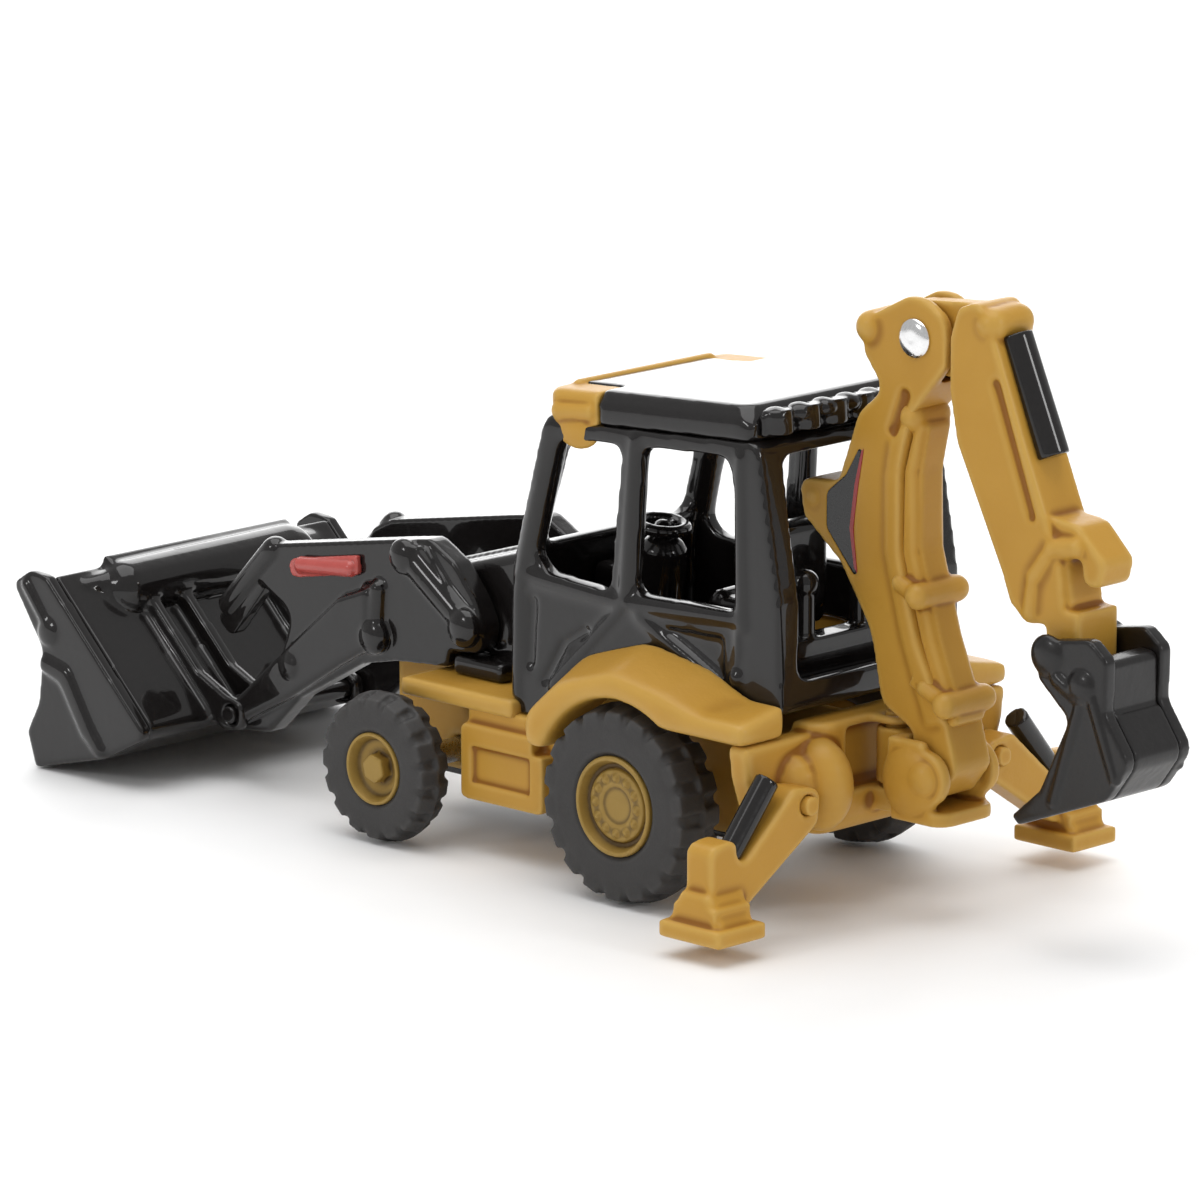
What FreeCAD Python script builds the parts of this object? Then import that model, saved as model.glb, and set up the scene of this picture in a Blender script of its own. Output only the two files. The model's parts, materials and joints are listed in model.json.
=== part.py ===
import FreeCAD, Part
import math
import os

# A pocket-size die-cast backhoe loader, in millimetres.
# +X points forward to the loader bucket, +Y to the left and +Z up from the ground.
# The outlines below are drawn with X measured from the rear axle. The finished
# pieces are moved so that the origin is under the middle of the whole toy.

# Wheels
rear_tyre_radius = 6.5
front_tyre_radius = 5.05
wheelbase = 22.1
rear_wheel_span = 24.9
front_wheel_span = 24.2
rear_tyre_width = 3.6
front_tyre_width = 2.6
rear_rim_radius = 3.25
front_rim_radius = 2.4
tread_depth = 0.45
rear_lug_count = 18
front_lug_count = 16
axle_radius = 0.8

# Frame and cab
deck_above_axle = 4.4
frame_width = 8.2
frame_floor_wall = 0.65
belly_plate_thickness = 0.6
cab_wall = 1.1
cab_length_rear = 10.7
cab_length_front = 13.0
cab_height = 19.0
roof_fall = 3.4
roof_thickness = 2.2
hood_front = 28.4
step_box_length = 7.5
step_box_drop = 7.3

# Loader
arm_thickness = 1.6
arm_spread = 12.2
arm_pivot_x = 19.2
arm_pivot_above_deck = 2.8
bucket_pin_x = 40.7
bucket_pin_height = 4.7
bucket_width = 27.0
bucket_plate = 0.9
rail_thickness = 0.9
pivot_radius = 0.8

# Backhoe
boom_width = 3.4
boom_foot_x = -17.5
boom_foot_below_deck = 1.3
swing_post_x = -12.9
stick_pivot_out = 1.85
stick_pivot_up = 27.55
tongue_width = 1.5
tongue_radius = 2.3
hoe_pin_out = -12.45
hoe_pin_down = 18.25
hoe_bucket_width = 6.2
small_pin_radius = 0.6
rivet_head_radius = 1.25

# Stabilisers
foot_span = 37.4
foot_width = 4.3
foot_length = 5.2
foot_lift = 1.2
leg_pivot_y = 9.0
leg_thickness = 2.2
leg_pivot_x = -12.6

# Fits
pin_clearance = 0.05
side_gap = 0.2
tyre_gap = 0.35

# Places that follow from the sizes above
deck = rear_tyre_radius + deck_above_axle
rear_outer = rear_wheel_span / 2
rear_inner = rear_outer - rear_tyre_width
front_outer = front_wheel_span / 2
front_inner = front_outer - front_tyre_width
frame_half = frame_width / 2
frame_bottom = front_tyre_radius - axle_radius - frame_floor_wall
cab_half = rear_inner - tyre_gap - 0.1
rail_outer = front_inner - tyre_gap
arm_outer = arm_spread / 2
arm_inner = arm_outer - arm_thickness
hood_half = arm_inner - side_gap * 2
arm_pivot_z = deck + arm_pivot_above_deck
boom_foot_z = deck - boom_foot_below_deck
boom_half = boom_width / 2
stick_pivot_x = boom_foot_x + stick_pivot_out
stick_pivot_z = boom_foot_z + stick_pivot_up
hoe_pin_x = stick_pivot_x + hoe_pin_out
hoe_pin_z = stick_pivot_z - hoe_pin_down
bucket_half = bucket_width / 2
foot_outer = foot_span / 2
leg_pivot_z = deck - 2.5
bucket_reach = 14.6
hoe_reach = 6.3
front_end = bucket_pin_x + bucket_reach
rear_end = hoe_pin_x - hoe_reach
middle_x = (front_end + rear_end) / 2
roof_front = cab_length_front - 3.1
roof_rear = -cab_length_rear + 2.7
roof_half = cab_half - 0.1
roof_middle_x = (roof_front + roof_rear) / 2


def vector(x, y, z):
    return FreeCAD.Vector(x, y, z)


def rounded_face(corners, lay):
    """A flat face through (a, b, radius) corners. lay turns (a, b) into a point."""
    edges = []
    ends = []
    count = len(corners)
    for index in range(count):
        a, b, radius = corners[index]
        here = vector(a, b, 0)
        last = corners[index - 1]
        following = corners[(index + 1) % count]
        back = (vector(last[0], last[1], 0) - here).normalize()
        onward = (vector(following[0], following[1], 0) - here).normalize()
        if radius == 0:
            ends.append((here, here))
            continue
        half_angle = back.getAngle(onward) / 2
        setback = radius / math.tan(half_angle)
        middle_out = radius / math.sin(half_angle) - radius
        start = here + back * setback
        end = here + onward * setback
        middle = here + (back + onward).normalize() * middle_out
        arc_points = [lay(p.x, p.y) for p in (start, middle, end)]
        edges.append((index, Part.Arc(*arc_points).toShape()))
        ends.append((start, end))
    arcs = dict(edges)
    loop = []
    for index in range(count):
        if index in arcs:
            loop.append(arcs[index])
        start = ends[index][1]
        end = ends[(index + 1) % count][0]
        if start.distanceToPoint(end) > 1e-6:
            loop.append(Part.makeLine(lay(start.x, start.y), lay(end.x, end.y)))
    return Part.Face(Part.Wire(loop))


def side_plate(corners, y0, y1, x=0, z=0):
    """A plate standing along the toy, drawn in (X, Z) about the point x, z."""
    face = rounded_face(corners, lambda a, b: vector(a + x, y0, b + z))
    return face.extrude(vector(0, y1 - y0, 0))


def level_plate(corners, z0, z1, x=0, y=0):
    """A plate lying level, drawn in (X, Y) about the point x, y."""
    face = rounded_face(corners, lambda a, b: vector(a + x, b + y, z0))
    return face.extrude(vector(0, 0, z1 - z0))


def cross_plate(corners, x0, x1, y=0, z=0):
    """A plate standing across the toy, drawn in (Y, Z) about the point y, z."""
    face = rounded_face(corners, lambda a, b: vector(x0, a + y, b + z))
    return face.extrude(vector(x1 - x0, 0, 0))


def block(x0, x1, y0, y1, z0, z1):
    return Part.makeBox(x1 - x0, y1 - y0, z1 - z0, vector(x0, y0, z0))


def soft_block(x0, x1, y0, y1, z0, z1, radius):
    """A block with all its edges rounded."""
    solid = block(x0, x1, y0, y1, z0, z1)
    return solid.makeFillet(radius, solid.Edges)


def pin_y(x, z, radius, y0, y1):
    return Part.makeCylinder(radius, y1 - y0, vector(x, y0, z), vector(0, 1, 0))


def pin_z(x, y, radius, z0, z1):
    return Part.makeCylinder(radius, z1 - z0, vector(x, y, z0), vector(0, 0, 1))


def pin_x(y, z, radius, x0, x1):
    return Part.makeCylinder(radius, x1 - x0, vector(x0, y, z), vector(1, 0, 0))


def rod(start, end, radius):
    return Part.makeCylinder(radius, (end - start).Length, start, end - start)


def mirrored(shape):
    return shape.mirror(vector(0, 0, 0), vector(0, 1, 0))


def turned_about_y(profile, x, z):
    """A ring or disc turned from (y, radius) corners about an axle at x, z."""
    face = rounded_face(profile, lambda a, b: vector(x, a, z + b))
    return face.revolve(vector(x, 0, z), vector(0, 1, 0), 360)


def save(name, shape):
    """Write one piece, moved so that the origin is under the middle of the toy."""
    solid = shape.removeSplitter()
    if len(solid.Solids) == 1:
        solid = solid.Solids[0]
    solid = solid.translated(vector(-middle_x, 0, 0))
    if not solid.isValid() or not solid.isClosed() or solid.Volume < 1e-3:
        print("FAULT", name, solid.isValid(), solid.isClosed(), solid.Volume)
    if solid.ShapeType != "Solid":
        print("NOT ONE SOLID", name, len(solid.Solids))
    solid.exportStep("parts/" + name + ".step")


def save_pair(name, left):
    save(name + "_left", left)
    save(name + "_right", mirrored(left))


# Wheels


def tyre(x, radius, rim_radius, outer, width, lug_count):
    """A rubber ring with two staggered rows of raised lugs."""
    inner = outer - width
    base = radius - tread_depth
    shoulder = width * 0.2
    ring = turned_about_y(
        [
            (inner, rim_radius, 0),
            (outer, rim_radius, 0),
            (outer, base - shoulder, 0),
            (outer - shoulder, base, 0),
            (inner + shoulder, base, 0),
            (inner, base - shoulder, 0),
        ],
        x,
        radius,
    )
    middle = (inner + outer) / 2
    lug_length = 2 * math.pi * radius / lug_count * 0.5
    lug_floor = base - shoulder
    lugs = []
    for row, (y0, y1) in enumerate(((middle, outer), (inner, middle))):
        lug = side_plate(
            [
                (-lug_length / 2, lug_floor, 0),
                (lug_length / 2, lug_floor, 0),
                (lug_length * 0.36, radius, 0),
                (-lug_length * 0.36, radius, 0),
            ],
            y0,
            y1,
            x,
            radius,
        )
        for index in range(lug_count):
            angle = 360 * (index + row / 2) / lug_count
            lugs.append(lug.rotated(vector(x, 0, radius), vector(0, 1, 0), angle))
    return ring.fuse(lugs)


def rim(x, z, radius, outer, width, depth, bolt_count):
    """A wheel disc with a raised edge, a flat hub and a ring of bolt dimples."""
    inner = outer - width
    hub_radius = radius * 0.42
    disc = turned_about_y(
        [
            (inner + 0.3, axle_radius, 0),
            (outer - depth + 0.3, axle_radius, 0),
            (outer - depth + 0.3, hub_radius, 0),
            (outer - depth, hub_radius, 0),
            (outer - depth, radius * 0.72, 0),
            (outer - depth / 2, radius * 0.86, 0),
            (outer, radius * 0.9, 0),
            (outer, radius, 0),
            (inner + 0.3, radius, 0),
        ],
        x,
        z,
    )
    dimple_radius = radius * 0.055
    dimple_circle = radius * 0.57
    dimple = pin_y(x, z + dimple_circle, dimple_radius, outer - depth - 0.15, outer)
    dimples = []
    for index in range(bolt_count):
        angle = 360 * index / bolt_count
        dimples.append(dimple.rotated(vector(x, 0, z), vector(0, 1, 0), angle))
    return disc.cut(dimples)


def axle(x, z, outer, depth):
    end = outer - depth + 0.3
    return pin_y(x, z, axle_radius, -end, end)


def make_wheels():
    rear_depth = 0.9
    front_depth = 0.7
    save("rear_axle", axle(0, rear_tyre_radius, rear_outer, rear_depth))
    save("front_axle", axle(wheelbase, front_tyre_radius, front_outer, front_depth))
    save_pair(
        "rear_rim",
        rim(0, rear_tyre_radius, rear_rim_radius, rear_outer, rear_tyre_width, rear_depth, 12),
    )
    save_pair(
        "front_rim",
        rim(wheelbase, front_tyre_radius, front_rim_radius, front_outer, front_tyre_width, front_depth, 6),
    )
    save_pair(
        "rear_tyre",
        tyre(0, rear_tyre_radius, rear_rim_radius, rear_outer, rear_tyre_width, rear_lug_count),
    )
    save_pair(
        "front_tyre",
        tyre(wheelbase, front_tyre_radius, front_rim_radius, front_outer, front_tyre_width, front_lug_count),
    )


# Frame


def chassis_frame():
    """The cast beam that both axles run through, with a rail above each front wheel."""
    front = hood_front - 0.6
    rear = -cab_length_rear + 1.2
    beam = side_plate(
        [
            (rear, deck - 4.4, 0.6),
            (-3, frame_bottom, 0.6),
            (front, frame_bottom, 0.6),
            (front, deck, 0.4),
            (rear, deck, 0.4),
        ],
        -frame_half,
        frame_half,
    )
    rail_rear = cab_length_front - 0.8
    rail_front = arm_pivot_x + 3.3
    rail = soft_block(rail_rear, rail_front, -rail_outer, rail_outer, deck - 1.4, deck - 0.2, 0.25)
    body = beam.fuse(rail)
    bore = axle_radius + pin_clearance
    rear_bore = pin_y(0, rear_tyre_radius, bore, -rear_outer, rear_outer)
    front_bore = pin_y(wheelbase, front_tyre_radius, bore, -rear_outer, rear_outer)
    return body.cut([rear_bore, front_bore])


screw_places = (-1.5, hood_front - 9.5)
screw_radius = 0.55
screw_head_radius = 1.05
screw_head = 0.35


def belly_plate():
    """The thin plate that closes the underside, held by two screws."""
    top = frame_bottom
    bottom = top - belly_plate_thickness
    half = frame_half - 0.7
    plate = level_plate(
        [
            (-2.6, -half, 1),
            (hood_front - 2.0, -half, 1),
            (hood_front - 2.0, half, 1),
            (-2.6, half, 1),
        ],
        bottom,
        top,
    )
    holes = [pin_z(x, 0, screw_head_radius, bottom, bottom + screw_head) for x in screw_places]
    holes += [pin_z(x, 0, screw_radius, bottom, top) for x in screw_places]
    return plate.cut(holes)


def base_screw(x):
    bottom = frame_bottom - belly_plate_thickness
    head = pin_z(x, 0, screw_head_radius, bottom, bottom + screw_head)
    shank = pin_z(x, 0, screw_radius, bottom, frame_bottom)
    arm = screw_head_radius * 0.62
    slot_a = block(x - arm, x + arm, -0.14, 0.14, bottom, bottom + 0.2)
    slot_b = block(x - 0.14, x + 0.14, -arm, arm, bottom, bottom + 0.2)
    return head.fuse(shank).cut([slot_a, slot_b])


def step_box():
    """The tank and step on the left of the frame, with a sunken panel."""
    rear = 9.4
    front = rear + step_box_length
    bottom = deck - step_box_drop
    top = deck - 2.3
    outer = rail_outer
    body = side_plate(
        [
            (rear, bottom, 0.5),
            (front, bottom, 0.5),
            (front, top, 0.5),
            (rear, top, 0.5),
        ],
        frame_half,
        outer,
    )
    panel = block(rear + 1.2, front - 1.0, outer - 0.3, outer, bottom + 1.1, top - 1.4)
    step = block(rear - 1, rear + 1.0, outer - 1.2, outer, top - 1.2, top)
    return body.cut([panel, step])


fender_crown = 1.6
fender_edge = 1.3


def fender():
    """The curved guard over a rear tyre, high at the cab and lower at its lip."""
    gap_radius = rear_tyre_radius + tyre_gap
    z = rear_tyre_radius
    inner_y = cab_half
    outer_y = rear_outer + 0.1
    lip = gap_radius + fender_edge
    crown = lip + fender_crown
    rear = leg_pivot_x + leg_thickness / 2 + side_gap
    low = deck + 1.2

    def section(y, radius, tail):
        corners = [
            (radius - 0.5, z + 2.6, 0),
            (radius - 0.2, z + 4.6, 1.5),
            (radius * 0.62, z + radius * 0.86, 3.0),
            (0.4, z + radius * 1.04, 3.0),
            (-radius * 0.5, z + radius * 0.95, 3.0),
            (-radius * 0.86, tail, 3.0),
            (rear, tail, 0),
            (rear, low, 0),
            (-2, low, 0),
            (2, z + 2.6, 0),
        ]
        return rounded_face(corners, lambda a, b: vector(a, y, b)).OuterWire

    body = Part.makeLoft(
        [section(inner_y, crown, deck + 3.4), section(outer_y, lip, deck + 2.6)], True, True
    )
    well = pin_y(0, z, gap_radius, inner_y - 1, outer_y + 1)
    below = block(-gap_radius, gap_radius, inner_y - 1, outer_y + 1, 0, z)
    return body.cut([well, below])


def hood():
    """The engine cover, which slopes down to the front, with the arm brackets."""
    back = cab_length_front
    front = hood_front
    body = side_plate(
        [
            (back, deck, 0),
            (front, deck, 0.3),
            (front, deck + 4.7, 0.9),
            (back, deck + 9.3, 0),
        ],
        -hood_half,
        hood_half,
    )
    long_edges = [e for e in body.Edges if abs(e.tangentAt(e.FirstParameter).y) < 0.1]
    top_edges = [e for e in long_edges if e.CenterOfMass.z > deck + 5]
    body = body.makeFillet(0.8, top_edges)
    strip = side_plate(
        [
            (back, deck + 8.5, 0),
            (front - 2.2, deck + 4.6, 0),
            (front - 2.2, deck + 5.7, 0.3),
            (back, deck + 9.7, 0),
        ],
        -1.6,
        1.6,
    )
    boss_end = arm_inner - side_gap
    boss = pin_y(arm_pivot_x, arm_pivot_z, 1.5, -boss_end, boss_end)
    bracket = soft_block(
        arm_pivot_x - 3.3, arm_pivot_x + 1.3, -arm_outer - 0.2, arm_outer + 0.2, deck - 0.2, deck + 1.1, 0.25
    )
    bracket = bracket.cut(block(back, front, -hood_half, hood_half, deck - 1, deck + 2))
    bore = pin_y(arm_pivot_x, arm_pivot_z, pivot_radius, -boss_end, boss_end)
    left = bracket.common(block(back, front, 0, rear_outer, deck - 1, deck + 3))
    return body.fuse([strip, boss, left, mirrored(left)]).cut(bore)


def arm_pivot_pin():
    """The cross pin that carries both loader arms, fast in the hood casting."""
    end = arm_outer + 0.25
    return pin_y(arm_pivot_x, arm_pivot_z, pivot_radius, -end, end)


def grille():
    """The slatted plate on the nose, with two lamps moulded in."""
    front = hood_front
    half = hood_half - 0.7
    plate = block(front, front + 0.5, -half, half, deck + 0.4, deck + 4.3)
    slats = []
    for index in range(5):
        low = deck + 0.75 + index * 0.55
        slats.append(block(front + 0.25, front + 0.5, -half + 1.6, half - 1.6, low, low + 0.3))
    return plate.cut(slats)


# Cab


def roof_drop(x):
    """How far the sloping roof line lies below its middle at x."""
    return math.tan(math.radians(roof_fall)) * (x - roof_middle_x)


def tilted(shape):
    """A roof piece, built level, leaned forward with the roof line."""
    return shape.rotated(vector(roof_middle_x, 0, deck + cab_height), vector(0, 1, 0), roof_fall)


def cab_outline():
    """The side outline of the cab above the deck."""
    front = cab_length_front
    rear = -cab_length_rear
    fall = roof_drop(front - 2.9)
    rise = roof_drop(rear + 2.1)
    return [
        (front - 2.9, cab_height - fall, 0.8),
        (front - 0.1, 8.4, 8.0),
        (front, -1.0, 1.0),
        (front - 3.4, -1.4, 0.6),
        (front - 3.9, 0.6, 0.8),
        (rear, 2.5, 0.4),
        (rear + 0.2, 9.5, 8.0),
        (rear + 2.1, cab_height - rise, 0.8),
    ]


def cab_window_front():
    """The opening of the left door, which leans with the front post."""
    return side_plate(
        [
            (8.7, 17.4, 1.0),
            (10.9, 9.6, 1.2),
            (9.6, 8.6, 1.0),
            (4.2, 8.2, 0.8),
            (3.1, 17.8, 0.8),
        ],
        -cab_half - 1,
        cab_half + 1,
        0,
        deck,
    )


def cab_window_rear():
    """The rear side opening, between the door post and the rear post."""
    return side_plate(
        [
            (1.4, 17.9, 1.0),
            (2.5, 8.4, 1.2),
            (-7.6, 8.6, 1.6),
            (-7.2, 13.0, 3.0),
            (-6.1, 18.4, 1.2),
        ],
        -cab_half - 1,
        cab_half + 1,
        0,
        deck,
    )


rear_window_half = 6.5
rear_window_sill = 4.4
rear_window_top = 18.5


def end_window(x0, x1, half, low, high, radius):
    return cross_plate(
        [
            (-half, low, radius),
            (half, low, radius),
            (half - 0.3, high, radius),
            (-half + 0.3, high, radius),
        ],
        x0,
        x1,
        0,
        deck,
    )


def cab_frame():
    """The cab as one open casting: posts, belt, sills and floor."""
    z = rear_tyre_radius
    shell = side_plate(cab_outline(), -cab_half, cab_half, 0, deck)
    room = side_plate(
        [
            (cab_length_front - 1.2, 1.2, 0.5),
            (cab_length_front - 1.3, 8.4, 7.0),
            (cab_length_front - 4.1, cab_height - 1.3, 0.6),
            (-cab_length_rear + 3.2, cab_height - 0.3, 0.6),
            (-cab_length_rear + 1.2, 9.5, 7.0),
            (-cab_length_rear + 1.2, 3.6, 0.5),
            (5.5, 3.6, 0.5),
            (7.5, 1.2, 0.5),
        ],
        -cab_half + cab_wall,
        cab_half - cab_wall,
        0,
        deck,
    )
    front_window = end_window(7, cab_length_front + 1, cab_half - 1.6, 10.0, cab_height - 1.9, 1.0)
    rear_window = end_window(
        -cab_length_rear - 1, -6, rear_window_half, rear_window_sill, rear_window_top, 1.0
    )
    well = pin_y(0, z, rear_tyre_radius + tyre_gap + 2.2, frame_half, rear_outer)
    wells = [well, mirrored(well)]
    beam_room = block(-20, 20, -frame_half, frame_half, 0, deck)
    rail_room = block(12.2, 20, -rail_outer, rail_outer, 0, deck - 0.2)
    openings = [room, cab_window_front(), cab_window_rear(), front_window, rear_window]
    return shell.cut(openings + wells + [beam_room, rail_room])


def roof_corners(grow):
    half = roof_half + grow
    return [
        (roof_front + grow, -half, 1.2),
        (roof_front + grow, half, 1.2),
        (roof_rear - grow, half, 1.0),
        (roof_rear - grow, -half, 1.0),
    ]


cap_length = 4.6
cap_width = 2.6
strip_depth = 1.0


def front_trim_room():
    """The space that the painted front edge of the roof takes."""
    z0 = deck + cab_height
    z1 = z0 + roof_thickness + 1
    inner = roof_half - cap_width
    cap = block(roof_front - cap_length, roof_front + 1, inner, roof_half + 1, z0, z1)
    strip = block(roof_front - strip_depth, roof_front + 1, -inner, inner, z0, z1)
    return [cap, mirrored(cap), strip]


def cab_roof():
    """The crowned roof panel."""
    z0 = deck + cab_height
    z1 = z0 + roof_thickness
    base = rounded_face(roof_corners(0), lambda a, b: vector(a, b, z0)).OuterWire
    edge = rounded_face(roof_corners(0), lambda a, b: vector(a, b, z0 + 1.3)).OuterWire
    crown = rounded_face(roof_corners(-0.7), lambda a, b: vector(a, b, z1)).OuterWire
    lower = Part.makeLoft([base, edge], True, True)
    upper = Part.makeLoft([edge, crown], True, True)
    return tilted(lower.fuse(upper).cut(front_trim_room()))


def roof_front_trim():
    """The painted front corners of the roof with the strip between them."""
    z0 = deck + cab_height
    z1 = z0 + roof_thickness - 0.1
    inner = roof_half - cap_width
    corner = level_plate(
        [
            (roof_front - cap_length, inner, 0),
            (roof_front, inner, 0),
            (roof_front, roof_half, 1.2),
            (roof_front - cap_length, roof_half, 0),
        ],
        z0,
        z1,
    )
    top_edges = [e for e in corner.Edges if abs(e.CenterOfMass.z - z1) < 0.01]
    rim = [e for e in top_edges if e.CenterOfMass.x > roof_front - 0.8 or e.CenterOfMass.y > roof_half - 0.8]
    corner = corner.makeFillet(0.6, rim)
    strip = block(roof_front - strip_depth, roof_front, -inner, inner, z0, z1 - 0.3)
    return tilted(corner.fuse([mirrored(corner), strip]))


def roof_rear_trim():
    """The scalloped moulding along the rear edge of the roof."""
    half = roof_half - 0.8
    z0 = deck + cab_height
    pitch = 2 * half / 6
    bar = block(roof_rear - 0.35, roof_rear, -half, half, z0 + 0.2, z0 + 1.6)
    bumps = []
    for index in range(6):
        y = -half + pitch * (index + 0.5)
        bumps.append(pin_z(roof_rear - 0.35, y, pitch * 0.42, z0 + 0.3, z0 + 1.9))
    keep = block(roof_rear - 3, roof_rear, -half, half, z0, z0 + 3)
    return tilted(bar.fuse(bumps).common(keep))


def seat():
    """The operator's seat, a rounded cushion and back on a block."""
    z0 = deck + 3.6
    base = block(-3.4, 0.4, -1.9, 1.9, z0, z0 + 2.2)
    cushion = soft_block(-4.4, 1.2, -2.8, 2.8, z0 + 2.2, z0 + 4.0, 0.6)
    back = soft_block(-4.8, -3.0, -2.6, 2.6, z0 + 3.2, z0 + 9.2, 0.7)
    return base.fuse([cushion, back])


def control_console():
    """The rear console with its two control towers."""
    z0 = deck + 3.6
    body = block(-8.2, -6.4, -4.4, 4.4, z0, z0 + 2.6)
    towers = [pin_z(-7.3, y, 0.7, z0 + 2.6, z0 + 5.4) for y in (-2.6, 2.6)]
    knobs = [Part.makeSphere(0.95, vector(-7.3, y, z0 + 6.0)) for y in (-2.6, 2.6)]
    return body.fuse(towers + knobs)


def steering_console():
    """The front console with the steering wheel on its sloping column."""
    console = side_plate(
        [(8.2, 1.2, 0), (11.6, 1.2, 0.3), (11.6, 8.0, 0.6), (9.6, 8.8, 0.6)], -2.4, 2.4, 0, deck
    )
    foot = vector(9.9, 0, deck + 8.2)
    head = vector(7.2, 0, deck + 10.2)
    column = rod(foot, head, 0.45)
    wheel = Part.makeTorus(1.9, 0.35, head, head - foot)
    side = vector(0, 1, 0)
    spoke = rod(head - side * 1.7, head + side * 1.7, 0.25)
    return console.fuse([column, wheel, spoke])


# Rear frame and stabilisers


swing_pin_radius = 0.75
foot_lobe_radius = 1.9


def rear_frame():
    """The cast frame across the rear: housing, stabiliser towers and swing lugs."""
    rear = swing_post_x + 0.9
    front = -cab_length_rear + 1.2
    low = deck - 5.6
    high = deck + 1.8
    half = 6.2
    housing = level_plate(
        [(front, -half, 0), (front, half, 0), (rear, half, 1.5), (rear, -half, 1.5)], low, high
    )
    foot_edges = [e for e in housing.Edges if e.CenterOfMass.z < low + 0.01 and e.CenterOfMass.x < rear + 0.1]
    housing = housing.makeFillet(1.2, foot_edges)
    lugs = []
    for z0, z1 in ((deck - 4.4, deck - 2.9), (deck + 1.2, deck + 1.8)):
        ear = pin_z(swing_post_x, 0, 1.5, z0, z1)
        neck = block(swing_post_x, rear + 0.1, -1.5, 1.5, z0, z1)
        lugs.append(ear.fuse(neck))
    casting_room = block(rear - 0.1, rear + 1.2, -3.6, 3.6, deck - 2.9, deck + 1.2)
    pin_room = pin_z(swing_post_x, 0, swing_pin_radius, deck - 6, deck + 4)
    towers = [stabiliser_tower(), mirrored(stabiliser_tower())]
    return housing.fuse(lugs + towers).cut([casting_room, pin_room])


def swing_pin():
    """The upright pin that the backhoe swings on."""
    return pin_z(swing_post_x, 0, swing_pin_radius, deck - 4.5, deck + 1.9)


def swing_casting():
    """The block that turns on the swing pin and forks around the boom foot."""
    low = deck - 2.9 + side_gap
    high = deck + 1.2 - side_gap
    cheek = boom_half + side_gap
    outer = cheek + 0.8
    web_rear = boom_foot_x + foot_lobe_radius + side_gap
    web_front = swing_post_x - 1.5
    shelf_top = boom_foot_z - foot_lobe_radius - side_gap
    shelf_low = shelf_top - 0.9
    shelf_front = swing_post_x - 1.8
    barrel = pin_z(swing_post_x, 0, 1.3, low, high)
    web = block(web_rear, web_front, -outer, outer, low, high)
    neck = block(web_front - 0.1, swing_post_x, -1.3, 1.3, low, high)
    shelf = level_plate(
        [
            (boom_foot_x - 1.6, -outer, 1.2),
            (shelf_front, -outer, 0),
            (shelf_front, outer, 0),
            (boom_foot_x - 1.6, outer, 1.2),
        ],
        shelf_low,
        shelf_top,
    )
    cheeks = []
    for y0 in (cheek, -outer):
        y1 = y0 + 0.8
        arm = soft_block(boom_foot_x, web_front, y0, y1, low, high, 0.35)
        boss = pin_y(boom_foot_x, boom_foot_z, 1.75, y0, y1)
        leg = block(boom_foot_x - 0.2, shelf_front, y0, y1, shelf_low, boom_foot_z)
        cheeks += [arm, boss, leg]
    body = barrel.fuse([web, neck, shelf] + cheeks)
    pin_bore = pin_z(swing_post_x, 0, swing_pin_radius + pin_clearance, low - 1, high + 1)
    foot_bore = pin_y(boom_foot_x, boom_foot_z, pivot_radius, -outer, outer)
    return body.cut([pin_bore, foot_bore])


def boom_foot_pin():
    end = boom_half + side_gap + 0.8 + 0.2
    return pin_y(boom_foot_x, boom_foot_z, pivot_radius, -end, end)


def stabiliser_tower():
    """The upright plate ahead of the left stabiliser leg, which holds its pin."""
    x0 = leg_pivot_x + leg_thickness / 2 + side_gap
    shape = cross_plate(
        [
            (5.6, -5.0, 0.5),
            (leg_pivot_y + 1.6, -4.6, 1.4),
            (leg_pivot_y + 2.9, -1.0, 1.5),
            (leg_pivot_y + 3.2, 1.2, 0.3),
            (5.6, 1.2, 0),
        ],
        x0,
        x0 + 1.6,
        0,
        deck,
    )
    pin_room = pin_x(leg_pivot_y, leg_pivot_z, small_pin_radius, leg_pivot_x - 9, leg_pivot_x + 9)
    return shape.cut(pin_room)


def stabiliser_pin():
    """The pin of the left leg, fast in the tower."""
    start = leg_pivot_x - leg_thickness / 2 - 0.4
    end = leg_pivot_x + leg_thickness / 2 + side_gap + 1.6
    return pin_x(leg_pivot_y, leg_pivot_z, small_pin_radius, start, end)


post_y = foot_outer - foot_width / 2
post_half = 1.2
pad_height = 2.3


def stabiliser_leg():
    """The sloping leg with its upright post and the left pad, one casting."""
    x0 = leg_pivot_x - leg_thickness / 2
    x1 = leg_pivot_x + leg_thickness / 2
    pad_top = foot_lift + pad_height
    bar = cross_plate(
        [
            (leg_pivot_y - 1.2, leg_pivot_z + 0.9, 0.8),
            (leg_pivot_y - 1.0, leg_pivot_z - 1.3, 0.8),
            (post_y - post_half - 1.0, pad_top - 0.5, 0.5),
            (post_y + post_half, pad_top - 0.5, 0),
            (post_y + post_half, pad_top + 3.7, 0.8),
            (post_y - post_half, pad_top + 3.9, 0.6),
            (post_y - post_half, pad_top + 1.7, 0.6),
            (leg_pivot_y + 1.2, leg_pivot_z + 1.3, 0.8),
        ],
        x0,
        x1,
    )
    bore = pin_x(leg_pivot_y, leg_pivot_z, small_pin_radius + pin_clearance, x0 - 1, x1 + 1)
    return bar.fuse(stabiliser_pad()).cut(bore)


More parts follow.
